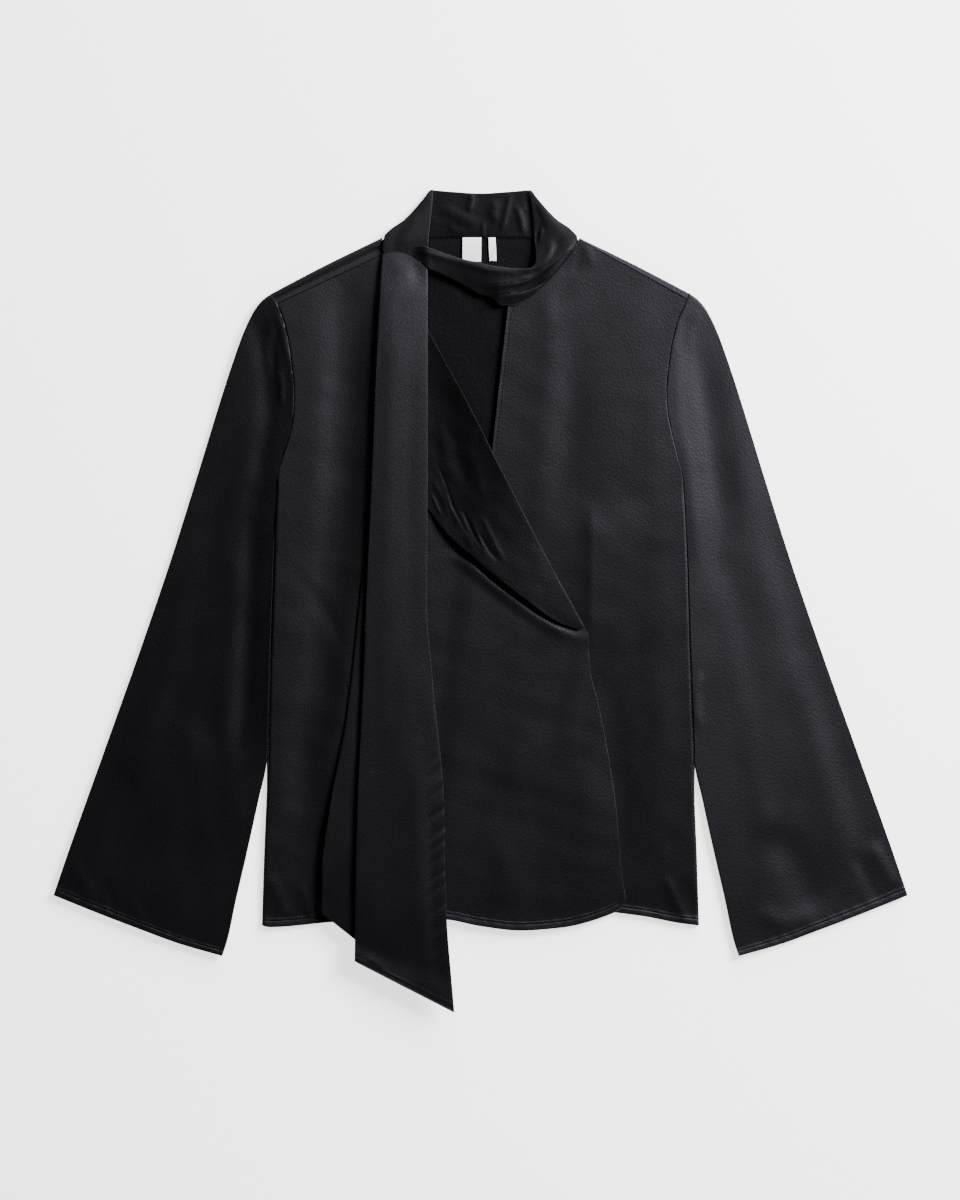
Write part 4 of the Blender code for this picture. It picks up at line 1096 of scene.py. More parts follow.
@dataclass
class Sleeve:
    """A sleeve pressed flat: one tube from the armhole to the cuff, folded along both edges."""

    side: Side
    pitch: float = 3.2
    under_columns: int = 18
    length: float = 560.0

    def make(self, wardrobe: Wardrobe) -> None:
        """Builds the sleeve."""
        sign = self.side.value
        column = 1 if self.side is Side.RIGHT else 2
        armhole = [Place(row[column] + sign * ARMHOLE_GAP, row[0]) for row in reversed(ARMHOLE_ROWS)]
        outer_edge = through(on_side(SLEEVE_OUTER, self.side))
        inner_edge = through([armhole[-1], *on_side(SLEEVE_INNER, self.side)[1:]])
        place = patch(through(armhole), through(on_side(CUFF, self.side)), outer_edge, inner_edge)
        along = 1.0 - spaced(self.length, self.pitch, HEM_STEPS, (0.0, 0.6, 1.6, 3.0, 5.0))[::-1]
        lean = 1.0 + 2.2 * np.exp(-along * 14.0)
        body = np.array(BodyLines.side(self.side, ARMHOLE_ROWS[-1][0]), float) * [sign, 1.0]
        fine = np.linspace(0.0, 1.0, 65)
        top_shares = spaced(230.0, self.pitch, EDGE_STEPS + (4.5,), EDGE_STEPS + (4.5,))
        rings, lifts = [], []
        for v, spread in zip(along, lean):
            line = place(fine, np.full_like(fine, v))
            width = float(np.linalg.norm(np.diff(line, axis=0), axis=1).sum())
            shares = self.edge_shares(top_shares, width, spread)
            xy = self.clear_of_body(place(shares, np.full_like(shares, v)), body)
            from_outer, from_inner = shares * width / spread, (1.0 - shares) * width / spread
            roll = (0.35, 1.0) if sign > 0 else (0.8, 0.3)
            edge = rounded(np.minimum(from_outer / roll[0], from_inner / roll[1]), 1.0)
            tall = float(step_up(v, 0.03, 0.3) * (1 - 0.75 * step_up(v, 0.75, 1.0)))
            tilt = 0.7 * (1.0 - float(step_up(v, 0.2, 0.5))) if sign > 0 else -1.6
            crown = (0.5 if sign > 0 else 1.2) * np.sin(math.pi * shares) ** 1.4 * tall + tilt * (1 - shares) * tall
            soft = creased(SLEEVE_CREASES[self.side], xy[:, 0], xy[:, 1])
            soft = soft + Rumple(21 if sign > 0 else 22, 0.4, 26.0, 130.0, towards=90 + 20 * sign).heights(*xy.T)
            down = v * self.length
            seam_dip = 0.35 * math.exp(-((down / 1.2) ** 2))
            from_cuff = (1.0 - v) * self.length
            height = FRONT_TOP + crown + soft * (1.0 - 0.4 * float(step_up(v, 0.93, 1.0))) - seam_dip
            height = height - 0.8 * (1.0 - rounded(from_cuff, 1.3))
            height = height + self.hem(from_cuff, shares * width) * edge
            middle = np.minimum(height / 2.0, FRONT_TOP / 2.0)
            upper = np.column_stack([xy, middle + (height - middle) * edge])
            under_shares = np.linspace(0.0, 1.0, self.under_columns + 2)[1:-1][::-1]
            under_xy = self.clear_of_body(place(under_shares, np.full_like(under_shares, v)), body)
            under_edge = rounded(np.minimum(under_shares, 1.0 - under_shares) * width, 1.0)
            under_z = (FRONT_TOP / 2.0) * (1.0 - under_edge)
            ring = np.concatenate([upper, np.column_stack([under_xy, under_z])])
            if not rings:
                wall = ring.copy()
                wall[:, 2] = np.where(np.arange(len(ring)) < len(upper), np.minimum(ring[:, 2], 2.7), 1.0)
                rings.append(wall - [sign * 1.6, 0.0, 0.0])
                rings.append(wall)
            rings.append(ring)
        cloth = Cloth(
            f"{self.side.name.lower()}_sleeve_cloth",
            np.array(rings),
            SHELL,
            FACE_SATIN,
            closed=True,
            lowest=SHELL,
            grain=14.0 if sign > 0 else -21.0,
            top_columns=len(top_shares),
        )
        wardrobe.keep(cloth, f"{self.side.name.lower()}_sleeve")

    def edge_shares(self, shares: np.ndarray, width: float, spread: float) -> np.ndarray:
        """The shares of a 230 mm wide ring, with the steps at both edges kept at their real size."""
        start, end = (np.array(EDGE_STEPS + (4.5,)) * spread / width for _ in range(2))
        middle = np.linspace(start[-1], 1.0 - end[-1], len(shares) - len(start) - len(end) + 2)[1:-1]
        return np.concatenate([start, middle, 1.0 - end[::-1]])

    def clear_of_body(self, xy: np.ndarray, body: np.ndarray) -> np.ndarray:
        """Keeps the sleeve's points beside the body's seam line."""
        sign = self.side.value
        seam_x = np.interp(xy[:, 1], body[:, 1], body[:, 0]) + ARMHOLE_GAP
        needed = np.where(xy[:, 1] > -150.0, seam_x - sign * xy[:, 0], -1.0)
        shift = max(float(needed.max()), 0.0)
        share = np.linspace(0.0, 1.0, len(xy)) if abs(xy[-1, 0]) < abs(xy[0, 0]) else np.linspace(1.0, 0.0, len(xy))
        away = sign * xy[:, 0] + shift * share**4
        away = np.maximum(away, np.where(xy[:, 1] > -150.0, seam_x, 0.0))
        return np.column_stack([sign * away, xy[:, 1]])

    def hem(self, from_cuff: float, along: np.ndarray) -> np.ndarray:
        """The turned cuff: a raised band, the dent of its stitches and small puckers beside them."""
        band = HEM_RISE * (1.0 - float(step_up(from_cuff, HEM_WIDTH - 0.4, HEM_WIDTH + 1.0)))
        dent = 0.4 * float(bump(from_cuff, STITCH_LINE, 0.8))
        near = float(bump(from_cuff, STITCH_LINE + 1.0, 3.5))
        turned = 0.55 * max(1.0 - from_cuff / HEM_WIDTH, 0.0)
        return band - dent + turned + 0.16 * near * np.sin(along / 2.4 + 1.3 * np.sin(along / 10.0))


@dataclass
class Ribbon:
    """A strip of cloth between two edge lines: a stretch of the scarf, or the turned-back edge."""

    name: str
    node: str
    layers: tuple[Layer, ...]
    cut: tuple[float, float]
    rests_on: tuple[str, ...]
    thickness: float = SCARF_SHELL
    finish: SatinFinish = SCARF_SATIN
    lowest: float | None = None
    pitch: float = 2.4
    roll: float = 0.9
    creases: tuple[Crease, ...] = ()
    rumple: Rumple | None = None
    turning: bool = True
    held: str = "laid"
    window: tuple[float, float] = (0.0, 1.0)
    shape: Callable[[np.ndarray, np.ndarray, np.ndarray, np.ndarray], np.ndarray] | None = None

    def make(self, wardrobe: Wardrobe) -> None:
        """Builds the strip."""
        data = np.array(self.layers, float)
        middle = (data[:, :2] + data[:, 2:4]) / 2.0
        lengths = np.linalg.norm(np.diff(middle, axis=0), axis=1)
        total = float(lengths.sum())
        line = monotone(np.concatenate([[0.0], np.cumsum(lengths)]) / total, data)
        ahead = (middle[1] - middle[0]) / lengths[0]
        widest = float(np.linalg.norm(data[:, :2] - data[:, 2:4], axis=1).max())
        first, last = self.window
        stretch = total * (last - first)
        shares = spaced(stretch, self.pitch, (0.0, 0.2, 0.8), (0.0, 0.2, 0.6, 1.2, 2.0, 5.0, 7.0, 8.0, 9.0))
        shares = first + (last - first) * shares
        steps = (0.0, 0.08, 0.25, 0.5, 0.8, 1.15)
        count = max(int(widest / self.pitch), 10)
        rows, chart = [], []
        for share in shares:
            row = Layer(*line(np.array(share)))
            width = math.hypot(row.bx - row.ax, row.by - row.ay)
            roll = min(self.roll, width * 0.28)
            close = np.array(steps) * roll / width
            w = np.concatenate([close, np.linspace(close[-1], 1 - close[-1], count + 2)[1:-1], 1.0 - close[::-1]])
            z = row.az + (row.bz - row.az) * w + row.crown * 4 * w * (1 - w)
            z = z - row.drop_a * (1 - rounded(w * width, roll)) - row.drop_b * (1 - rounded((1 - w) * width, roll))
            reach = -row.bow * 4 * w * (1 - w)
            x = row.ax + (row.bx - row.ax) * w + ahead[0] * reach
            y = row.ay + (row.by - row.ay) * w + ahead[1] * reach
            edge = rounded(w * width, 4.0) * rounded((1 - w) * width, 4.0)
            soft = creased(self.creases, x, y)
            if self.rumple is not None:
                soft = soft + self.rumple.heights(x, y)
            z = z + soft * edge
            if self.shape is not None:
                z = z + self.shape(w, np.full_like(w, share), x, y)
            rows.append(np.column_stack([x, y, z]))
            chart.append(np.column_stack([w * widest, np.full_like(w, share * total)]))
        cloth = Cloth(self.name, np.array(rows), self.thickness, self.finish, lowest=self.lowest)
        if self.turning:
            cloth.chart = np.array(chart)
        wardrobe.keep(cloth, self.node)


NECKLINE_FOLDS = (
    Crease(((2, 299), (15.3, 299.5), (35.6, 302), (54.4, 308.9), (70, 319.8), (82.5, 332.3)), 1.3, 2.3, 5.0, True),
    Crease(((12, 289.5), (20, 290.1), (35.6, 291.7), (51.3, 296.4), (70, 308.9), (78, 317)), 1.2, 2.0, 4.0, True),
    Crease(((40, 312), (47, 313.5), (55, 317), (63, 325), (69, 337)), 3.0, 1.3, 1.2),
    Crease(((-58, 331), (-40, 326), (-12, 318.5), (14, 312), (34, 311)), 3.2, 1.1),
    Crease(((59, 352), (57, 346), (56, 341)), 1.3, 0.6),
    Crease(((55.5, 356), (53.5, 346), (52.5, 336)), 2.0, -0.7),
    Crease(((44, 316.5), (47, 318.5), (50, 322)), 2.2, -1.2),
    Crease(((56, 299), (67, 310), (79, 324), (88, 338)), 4.0, 1.5),
    Crease(((46, 307), (58, 318), (69, 331), (77, 343)), 5.0, -1.3),
)


def neckline_folds(w: np.ndarray, share: np.ndarray, x: np.ndarray, y: np.ndarray) -> np.ndarray:
    """The folds gathered at the left front and drawn across to the tie.

    Args:
        w: The share across the strip, from its seam to its upper edge.
        share: The share along the neckline, from the back of the neck to the tie.
        x: The places' x.
        y: Their y.

    Returns:
        The lift of the folds.
    """
    inner = rounded(w * 30.0, 1.5) * rounded((1.0 - w) * 30.0, 1.5)
    return creased(NECKLINE_FOLDS, x, y) * inner * step_up(share, 0.1, 0.2)


def crossing_folds(w: np.ndarray, share: np.ndarray, x: np.ndarray, y: np.ndarray) -> np.ndarray:
    """The same folds on the strip across the front, which starts just under the gathered one."""
    return neckline_folds(w, share, x, y) - 0.05 * (1.0 - step_up(share, 0.5745, 0.578))


def tie_folds(w: np.ndarray, share: np.ndarray, x: np.ndarray, y: np.ndarray) -> np.ndarray:
    """The front end's own folds: the dip where it turns down, its puckered right edge and its seamed lower end."""
    dip = -1.4 * np.exp(-(((x + 60.0) / 9.0) ** 2)) * np.exp(-(((y - 312.0) / 13.0) ** 2))
    rise = 0.4 * np.exp(-(((x + 80.0) / 8.0) ** 2)) * np.exp(-(((y - 318.0) / 9.0) ** 2))
    from_edge = (1.0 - w) * 80.0
    run = y + from_edge * 0.9
    wave = np.sin(run / 2.5 + 1.7 * np.sin(run / 19.0)) + 0.5 * np.sin(run / 1.6 + 0.8)
    where = step_up(-y, 120.0, 200.0) * step_up(y, -372.0, -330.0)
    pucker = 0.5 * wave * where * np.exp(-((from_edge - 3.5) / 8.0) ** 2)
    from_end = (1.0 - share) * 718.0
    seam = 0.15 * (1.0 - step_up(from_end, 7.4, 9.0)) - 0.15 * bump(from_end, 8.6, 0.9)
    lifted_end = 2.6 * (1.0 - step_up(from_end, 2.0, 30.0)) * rounded(from_end, 4.0)
    return dip + rise + pucker + seam + lifted_end


@dataclass
class Scarf:
    """The scarf collar in its stretches, from the back of the neck to its two hanging ends."""

    ribbons: list[Ribbon] = field(default_factory=list)

    def make(self, wardrobe: Wardrobe) -> None:
        """Builds every stretch."""
        self.back_stretch(wardrobe)
        over_back = 1.9
        stretches = (
            Ribbon(
                "scarf_right_cloth",
                "scarf_right_neck",
                RIGHT_NECK,
                (0.049, 0.08),
                ("scarf_back_cloth", "right_front_cloth"),
                finish=COLLAR_SATIN,
                lowest=over_back,
                pitch=1.6,
                creases=(
                    Crease(((-55, 384), (-69, 362), (-80, 346), (-85, 336)), 3.6, -0.6, 1.6),
                    Crease(((-60, 366), (-68, 350), (-76, 334)), 5, 0.4),
                ),
                rumple=Rumple(31, 0.2, 14.0, 50.0),
            ),
            Ribbon(
                "scarf_left_cloth",
                "scarf_left_neck",
                NECKLINE,
                (0.046, 0.15),
                ("scarf_back_cloth", "left_front_cloth"),
                finish=COLLAR_SATIN,
                lowest=over_back,
                pitch=1.3,
                roll=1.1,
                window=(0.0, 0.5745),
                creases=(
                    Crease(((58, 376), (66, 362), (74, 350)), 7, 0.6),
                    Crease(((52, 374), (56, 362), (60, 350)), 3, -0.4),
                ),
                rumple=Rumple(32, 0.15, 12.0, 46.0),
                shape=neckline_folds,
                held="gathered",
            ),
            Ribbon(
                "scarf_crossing_cloth",
                "scarf_crossing",
                NECKLINE,
                (0.036, 0.11),
                ("scarf_right_cloth", "left_front_cloth"),
                finish=COLLAR_SATIN,
                lowest=2.9,
                pitch=1.2,
                window=(0.5732, 1.0),
                shape=crossing_folds,
                rumple=Rumple(32, 0.15, 12.0, 46.0),
                held="gathered",
            ),
            Ribbon(
                "scarf_rear_cloth",
                "scarf_rear_end",
                REAR_END,
                (0.1, 0.69),
                ("right_front_cloth",),
                creases=(Crease(((-106, 60), (-118, -80), (-132, -220)), 8, 0.5),),
                rumple=Rumple(34, 0.25, 30.0, 110.0),
            ),
            Ribbon(
                "scarf_front_cloth",
                "scarf_front_end",
                FRONT_END,
                (0.1, 0.72),
                ("scarf_rear_cloth", "right_front_cloth"),
                roll=0.5,
                creases=(
                    Crease(((-84, 290), (-86, 160), (-88, 20), (-92, -120)), 9, 0.5),
                    Crease(((-64, 250), (-66, 80), (-66, -60)), 8, -0.4),
                    Crease(((-96, -110), (-92, -220), (-84, -330)), 13, -0.5),
                    Crease(((-62, -140), (-58, -240), (-52, -340)), 10, 0.6),
                    Crease(((-48, -190), (-46, -280), (-40, -360)), 6, -0.6),
                    Crease(((-113, -343), (-106, -340), (-90, -350), (-68, -361)), 1.5, 0.7, 2.2, True),
                ),
                rumple=Rumple(35, 0.3, 30.0, 120.0, towards=90.0, spread=40.0),
                shape=tie_folds,
            ),
        )
        for ribbon in stretches:
            ribbon.make(wardrobe)

    def back_stretch(self, wardrobe: Wardrobe) -> None:
        """The stretch round the back of the neck, laid flat with its inner face up."""
        creases = (
            Crease(((28, 386), (24, 368), (20, 352)), 2.0, 0.9, 1.5),
            Crease(((34, 374), (38, 362), (40, 350)), 2.6, 1.0),
            Crease(((14, 378), (12, 368), (16, 360)), 4.0, 1.0),
            Crease(((-8, 386), (-9, 378), (-12, 370)), 2.6, 1.0),
            Crease(((3, 358), (2, 350), (2, 346)), 1.4, 0.8),
            Crease(((-36, 374), (-20, 364), (-4, 358)), 6.0, 0.9),
            Crease(((-30, 356), (-24, 352), (-14, 350)), 3.0, 0.5),
            Crease(((46, 386), (48, 366), (49, 348)), 4.0, -0.8),
        )
        rumple = Rumple(36, 0.2, 8.0, 40.0, spread=90.0)
        top = through(COLLAR_TOP)
        rows = []
        for share in spaced(215.0, 1.8, (0.0, 0.5), (0.0, 0.5)):
            x, y = top(np.array(share))
            low = BACK_NECK_Y - 0.9
            up = spaced(44.0, 1.8, (0.0, 0.3, 1.0), (0.0, 0.12, 0.4, 0.8, 1.3))
            line_y = low + (y - low) * up
            line_x = np.full_like(line_y, x)
            z = 1.6 + 0.5 * np.sin(math.pi * up) + creased(creases, line_x, line_y) + rumple.heights(line_x, line_y)
            z = np.maximum(z, 1.4) - 0.8 * (1.0 - rounded(y - line_y, 1.3)) - 0.2 * (1.0 - rounded(line_y - low, 1.0))
            rows.append(np.column_stack([line_x, line_y, z]))
        cloth = Cloth("scarf_back_cloth", np.array(rows), 0.9, COLLAR_INSIDE, lowest=0.02, grain=90.0)
        wardrobe.keep(cloth, "scarf_back_neck")


@dataclass
class Labels:
    """The plain woven tapes sewn into the back of the neck."""

    def make(self, wardrobe: Wardrobe) -> None:
        """Builds both tapes."""
        self.tape("neck_tape", "neck_label", Place(-8.2, 344.6), (17.8, 23.0), -0.01, wardrobe)
        self.tape("size_tape", "size_label", Place(10.8, 344.6), (6.8, 22.4), 0.04, wardrobe)

    def tape(
        self, name: str, node: str, top: Place, size: tuple[float, float], slant: float, wardrobe: Wardrobe
    ) -> None:
        """Builds one tape, curled a little at its free end and folded under at its sides.

        Args:
            name: The piece's name.
            node: The solid that it stands for.
            top: The middle of its sewn end.
            size: Its width and length.
            slant: How far it leans to the side on its way down.
            wardrobe: What builds it and attaches it to the body.
        """
        width, length = size
        rows = []
        sides = spaced(width, 1.0, (0.0, 0.1, 0.3, 0.6), (0.0, 0.1, 0.3, 0.6))
        for down in spaced(length, 1.0, (0.0, 0.2, 0.6), (0.0, 0.1, 0.3, 0.7)) * length:
            x = top.x + (sides - 0.5) * width + slant * down
            from_side = np.minimum(sides, 1.0 - sides) * width
            z = 2.3 + 0.5 * math.sin(math.pi * down / length) - 0.3 * (1.0 - rounded(from_side, 0.6))
            z = z + 0.15 * np.sin(sides * 5.0 + down / 4.0) - 0.3 * (1.0 - float(rounded(length - down, 0.7)))
            rows.append(np.column_stack([x, np.full_like(x, top.y - down), z]))
        cloth = Cloth(name, np.array(rows), 0.6, LABEL_TAPE, lowest=1.4)
        wardrobe.keep(cloth, node)


@dataclass(frozen=True)
class StitchRun:
    """A line of stitches along a path on the cloth."""

    name: str
    path: np.ndarray
    pitch: float = 3.1
    length: float = 2.0
    radius: float = 0.26


class StitchTree:
    """A Geometry Nodes tree that sews short stitches along the edges of a mesh."""

    def __init__(self) -> None:
        """Builds the tree with its named inputs."""
        tree = bpy.data.node_groups.new("stitches_along_path", "GeometryNodeTree")
        self.tree = tree
        tree.interface.new_socket("Geometry", in_out="INPUT", socket_type="NodeSocketGeometry")
        for name, value in (("Pitch", 0.0031), ("Length", 0.002), ("Radius", 0.00026), ("Unevenness", 0.12)):
            socket = tree.interface.new_socket(name, in_out="INPUT", socket_type="NodeSocketFloat")
            socket.default_value = value
        tree.interface.new_socket("Seed", in_out="INPUT", socket_type="NodeSocketInt").default_value = 5
        tree.interface.new_socket("Thread", in_out="INPUT", socket_type="NodeSocketMaterial")
        tree.interface.new_socket("Geometry", in_out="OUTPUT", socket_type="NodeSocketGeometry")
        nodes, links = tree.nodes, tree.links
        given, result = nodes.new("NodeGroupInput"), nodes.new("NodeGroupOutput")
        curve = nodes.new("GeometryNodeMeshToCurve")
        links.new(given.outputs["Geometry"], curve.inputs["Mesh"])
        points = nodes.new("GeometryNodeCurveToPoints")
        points.mode = "LENGTH"
        links.new(curve.outputs["Curve"], points.inputs["Curve"])
        links.new(given.outputs["Pitch"], points.inputs["Length"])
        ball = nodes.new("GeometryNodeMeshUVSphere")
        ball.inputs["Segments"].default_value = 6
        ball.inputs["Rings"].default_value = 5
        ball.inputs["Radius"].default_value = 1.0
        half = nodes.new("ShaderNodeMath")
        half.operation = "MULTIPLY"
        half.inputs[1].default_value = 0.5
        links.new(given.outputs["Length"], half.inputs[0])
        size = nodes.new("ShaderNodeCombineXYZ")
        links.new(given.outputs["Radius"], size.inputs["X"])
        links.new(given.outputs["Radius"], size.inputs["Y"])
        links.new(half.outputs["Value"], size.inputs["Z"])
        low = nodes.new("ShaderNodeMath")
        low.operation = "SUBTRACT"
        low.inputs[0].default_value = 1.0
        links.new(given.outputs["Unevenness"], low.inputs[1])
        high = nodes.new("ShaderNodeMath")
        high.operation = "ADD"
        high.inputs[0].default_value = 1.0
        links.new(given.outputs["Unevenness"], high.inputs[1])
        uneven = nodes.new("FunctionNodeRandomValue")
        uneven.data_type = "FLOAT"
        floats = [socket for socket in uneven.inputs if socket.type == "VALUE"]
        links.new(low.outputs["Value"], floats[0])
        links.new(high.outputs["Value"], floats[1])
        links.new(given.outputs["Seed"], uneven.inputs["Seed"])
        scale = nodes.new("ShaderNodeVectorMath")
        scale.operation = "SCALE"
        links.new(size.outputs["Vector"], scale.inputs[0])
        amount = next(socket for socket in uneven.outputs if socket.type == "VALUE" and socket.enabled)
        links.new(amount, scale.inputs["Scale"])
        sewn = nodes.new("GeometryNodeInstanceOnPoints")
        links.new(points.outputs["Points"], sewn.inputs["Points"])
        links.new(ball.outputs["Mesh"], sewn.inputs["Instance"])
        links.new(points.outputs["Rotation"], sewn.inputs["Rotation"])
        links.new(scale.outputs["Vector"], sewn.inputs["Scale"])
        real = nodes.new("GeometryNodeRealizeInstances")
        links.new(sewn.outputs["Instances"], real.inputs["Geometry"])
        thread = nodes.new("GeometryNodeSetMaterial")
        links.new(real.outputs["Geometry"], thread.inputs["Geometry"])
        links.new(given.outputs["Thread"], thread.inputs["Material"])
        links.new(thread.outputs["Geometry"], result.inputs["Geometry"])

    def identifier(self, name: str) -> str:
        """The identifier of one of the tree's inputs."""
        items = self.tree.interface.items_tree
        return next(item.identifier for item in items if item.name == name and item.in_out == "INPUT")

    def sew(self, run: StitchRun) -> bpy.types.Object:
        """Sews one run as a plain mesh.

        Args:
            run: The path and the size of its stitches.

        Returns:
            The stitches.
        """
        count = len(run.path)
        path = bpy.data.meshes.new(run.name + "_path")
        path.from_pydata((run.path * MM).tolist(), [(k, k + 1) for k in range(count - 1)], [])
        guide = bpy.data.objects.new(run.name + "_path", path)
        bpy.context.scene.collection.objects.link(guide)
        modifier = guide.modifiers.new("stitches", "NODES")
        modifier.node_group = self.tree
        modifier[self.identifier("Pitch")] = run.pitch * MM
        modifier[self.identifier("Length")] = run.length * MM
        modifier[self.identifier("Radius")] = run.radius * MM
        modifier[self.identifier("Thread")] = bpy.data.materials[THREAD.name]
        ready = guide.evaluated_get(bpy.context.evaluated_depsgraph_get())
        mesh = bpy.data.meshes.new_from_object(ready)
        mesh.name = run.name
        mesh.shade_smooth()
        piece = bpy.data.objects.new(run.name, mesh)
        bpy.context.scene.collection.objects.link(piece)
        bpy.data.objects.remove(guide)
        return piece


@dataclass
class Stitching:
    """The stitches of the hems, the centre edge and the neck seam, each lying on the cloth under it."""

    def surface(self, names: Sequence[str]) -> Callable[[float, float], float]:
        """A function that gives the height of the highest of some pieces at a place."""
        pieces = [bpy.data.objects[name] for name in names]

        def height(x: float, y: float) -> float:
            best = 0.0
            for piece in pieces:
                hit, at, _, _ = piece.ray_cast((x * MM, y * MM, 0.1), (0.0, 0.0, -1.0))
                if hit:
                    best = max(best, at.z / MM)
            return best

        return height

    def on_cloth(self, line: np.ndarray, names: Sequence[str], lift: float = 0.02) -> np.ndarray:
        """A path laid on the cloth.

        Args:
            line: Its places from above.
            names: The pieces that it may lie on.
            lift: How far above them it lies.

        Returns:
            The path's points.
        """
        height = self.surface(names)
        return np.array([(x, y, height(x, y) + lift) for x, y in line])

    def inside(self, curve: Curve, inward: float, start: float, end: float, count: int) -> np.ndarray:
        """Places along a curve, moved to its left by a distance."""
        share = np.linspace(start, end, count)
        points = curve(share)
        ahead = np.gradient(points, axis=0)
        ahead /= np.linalg.norm(ahead, axis=1, keepdims=True)
        return points + np.column_stack([-ahead[:, 1], ahead[:, 0]]) * inward

    def make(self) -> None:
        """Sews every run."""
        tree = StitchTree()
        hem_right = self.inside(through(HEM_RIGHT_FRONT), STITCH_LINE, 0.012, 0.965, 160)
        hem_left = self.inside(through(HEM_LEFT_FRONT), STITCH_LINE, 0.05, 0.985, 110)
        centre = self.inside(through(CENTRE_EDGE), -4.0, 0.62, 0.985, 90)
        neck = np.array([(x, BACK_NECK_Y + 0.9) for x in np.linspace(-48.0, 50.0, 60)])
        cuffs = {}
        for side in Side:
            turn = -side.value * STITCH_LINE
            cuffs[side] = self.inside(through(on_side(CUFF, side)), turn, 0.02, 0.98, 90)
        runs = [
            StitchRun("right_hem_stitches", self.on_cloth(hem_right, ["right_front_cloth"])),
            StitchRun("left_hem_stitches", self.on_cloth(hem_left, ["left_front_cloth"])),
            StitchRun("centre_edge_stitches", self.on_cloth(centre, ["left_front_cloth"])),
            StitchRun("neck_seam_stitches", self.on_cloth(neck, ["scarf_back_cloth"])),
            StitchRun("left_cuff_stitches", self.on_cloth(cuffs[Side.LEFT], ["left_sleeve_cloth"])),
            StitchRun("right_cuff_stitches", self.on_cloth(cuffs[Side.RIGHT], ["right_sleeve_cloth"])),
        ]
        for run in runs:
            piece = tree.sew(run)
            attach(piece, BODY)
            LOG.info("%s: %d faces", piece.name, len(piece.data.polygons))


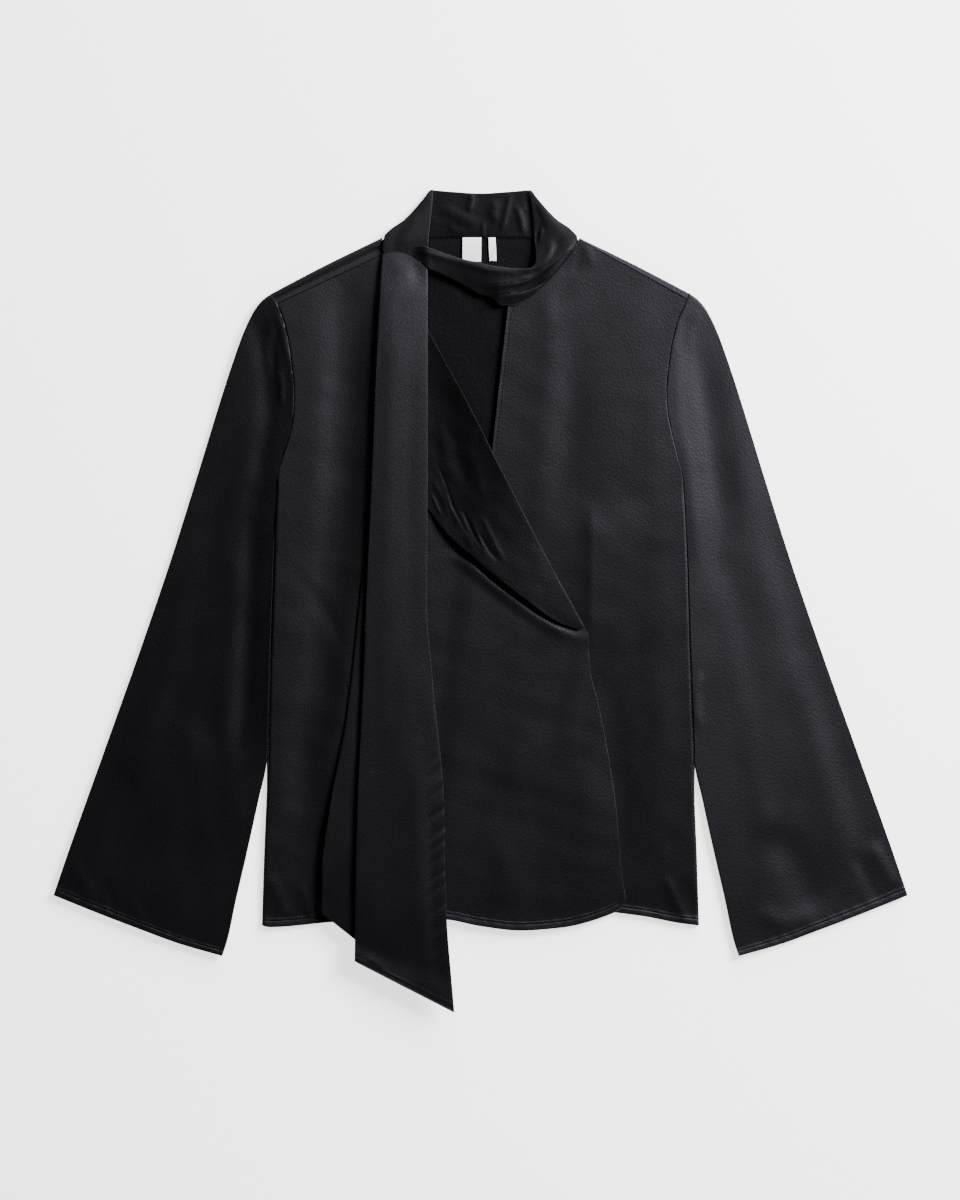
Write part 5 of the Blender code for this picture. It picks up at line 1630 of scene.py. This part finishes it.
@dataclass
class Studio:
    """The pale floor, the soft lights and the camera that looks straight down."""

    height: float = 2.705
    frame_height: float = 1.14
    sensor: float = 36.0
    offset: float = 0.000475

    def make(self) -> None:
        """Sets up the studio."""
        self.floor()
        self.world(0.02)
        self.softbox("key_light", (2.2, 1.35, 1.45), (0.0, 0.0, 0.0), (1.2, 1.2), 402.0)
        self.softbox("top_light", (0.6, 3.4, 0.9), (0.0, 0.2, 0.0), (2.2, 0.8), 230.0)
        self.softbox("low_light", (1.0, -3.6, 0.8), (0.0, -0.2, 0.0), (2.6, 0.8), 190.0)
        self.camera()

    def floor(self) -> None:
        """The plain floor, just under the blouse."""
        half = 6.0
        mesh = bpy.data.meshes.new("floor")
        corners = [(-half, -half, -0.0004), (half, -half, -0.0004), (half, half, -0.0004), (-half, half, -0.0004)]
        mesh.from_pydata(corners, [], [(0, 1, 2, 3)])
        material = bpy.data.materials.new("pale_floor")
        material.use_nodes = True
        shader = material.node_tree.nodes["Principled BSDF"]
        shader.inputs["Base Color"].default_value = (0.88, 0.872, 0.86, 1.0)
        shader.inputs["Roughness"].default_value = 0.95
        shader.inputs["Specular IOR Level"].default_value = 0.1
        shader.inputs["Emission Color"].default_value = (1.0, 0.995, 0.985, 1.0)
        shader.inputs["Emission Strength"].default_value = 1.7
        mesh.materials.append(material)
        floor = bpy.data.objects.new("floor", mesh)
        bpy.context.scene.collection.objects.link(floor)

    def world(self, strength: float) -> None:
        """An even, dim surround."""
        world = bpy.data.worlds.new("surround")
        world.use_nodes = True
        background = world.node_tree.nodes["Background"]
        background.inputs["Color"].default_value = (0.95, 0.97, 1.0, 1.0)
        background.inputs["Strength"].default_value = strength
        bpy.context.scene.world = world

    def softbox(
        self,
        name: str,
        place: tuple[float, float, float],
        target: tuple[float, float, float],
        size: tuple[float, float],
        power: float,
    ) -> None:
        """A rectangular light aimed at a point.

        Args:
            name: Its name.
            place: Where it hangs.
            target: Where it points.
            size: Its width and height.
            power: Its power in watts.
        """
        light = bpy.data.lights.new(name, "AREA")
        light.shape = "RECTANGLE"
        light.size, light.size_y = size
        light.energy = power
        lamp = bpy.data.objects.new(name, light)
        lamp.location = place
        towards = np.array(target) - np.array(place)
        flat = math.hypot(towards[0], towards[1])
        lamp.rotation_euler = (math.atan2(flat, -towards[2]), 0.0, math.atan2(-towards[0], towards[1]))
        bpy.context.scene.collection.objects.link(lamp)

    def camera(self) -> None:
        """The camera, straight above the blouse."""
        camera = bpy.data.cameras.new("camera")
        camera.sensor_width = self.sensor
        camera.lens = self.sensor * self.height / self.frame_height
        eye = bpy.data.objects.new("camera", camera)
        eye.location = (-self.offset, self.offset, self.height)
        bpy.context.scene.collection.objects.link(eye)
        bpy.context.scene.camera = eye


def main() -> None:
    """Builds the blouse's looks in order."""
    logging.basicConfig(level=logging.INFO, format="%(message)s")
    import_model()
    Studio().make()
    wardrobe = Wardrobe()
    BackPanel().make(wardrobe)
    LeftFront().make(wardrobe)
    RightFront().make(wardrobe)
    Ribbon(
        "revers_cloth",
        "right_front_revers",
        REVERS,
        (0.1, 0.34),
        ("right_front_cloth",),
        thickness=SHELL,
        finish=FACING_SATIN,
        roll=0.7,
        pitch=1.5,
        turning=False,
        creases=(
            Crease(((-44, 112), (-36, 96), (-30, 80)), 2.4, 0.4),
            Crease(((-40, 128), (-32, 108), (-25, 86)), 1.5, -0.4),
            Crease(((-46, 100), (-42, 90), (-38, 82)), 1.4, 0.5),
            Crease(((-34, 100), (-26, 84), (-20, 68)), 2.4, 0.35),
            Crease(((-28, 92), (-18, 74), (-12, 62)), 1.5, -0.5),
            Crease(((-22, 84), (-14, 66), (-9, 50)), 2.8, 0.45),
            Crease(((-16, 84), (-6, 62), (2, 48)), 1.6, -0.5),
            Crease(((-8, 76), (0, 54), (6, 40)), 3.0, 0.45),
            Crease(((0, 62), (8, 48), (16, 38)), 1.8, -0.5),
            Crease(((2, 78), (12, 56), (22, 38)), 2.6, 0.5),
            Crease(((-38, 170), (-34, 140), (-26, 112)), 5, 0.6),
            Crease(((-26, 160), (-20, 132), (-12, 104)), 5, -0.6),
            Crease(((-12, 150), (-4, 120), (6, 92)), 5, 0.4),
        ),
        rumple=Rumple(41, 0.3, 12.0, 50.0, towards=120.0),
        held="folded",
    ).make(wardrobe)
    for side in Side:
        Sleeve(side).make(wardrobe)
    Scarf().make(wardrobe)
    Labels().make(wardrobe)
    Stitching().make()


if __name__ == "__main__":
    main()
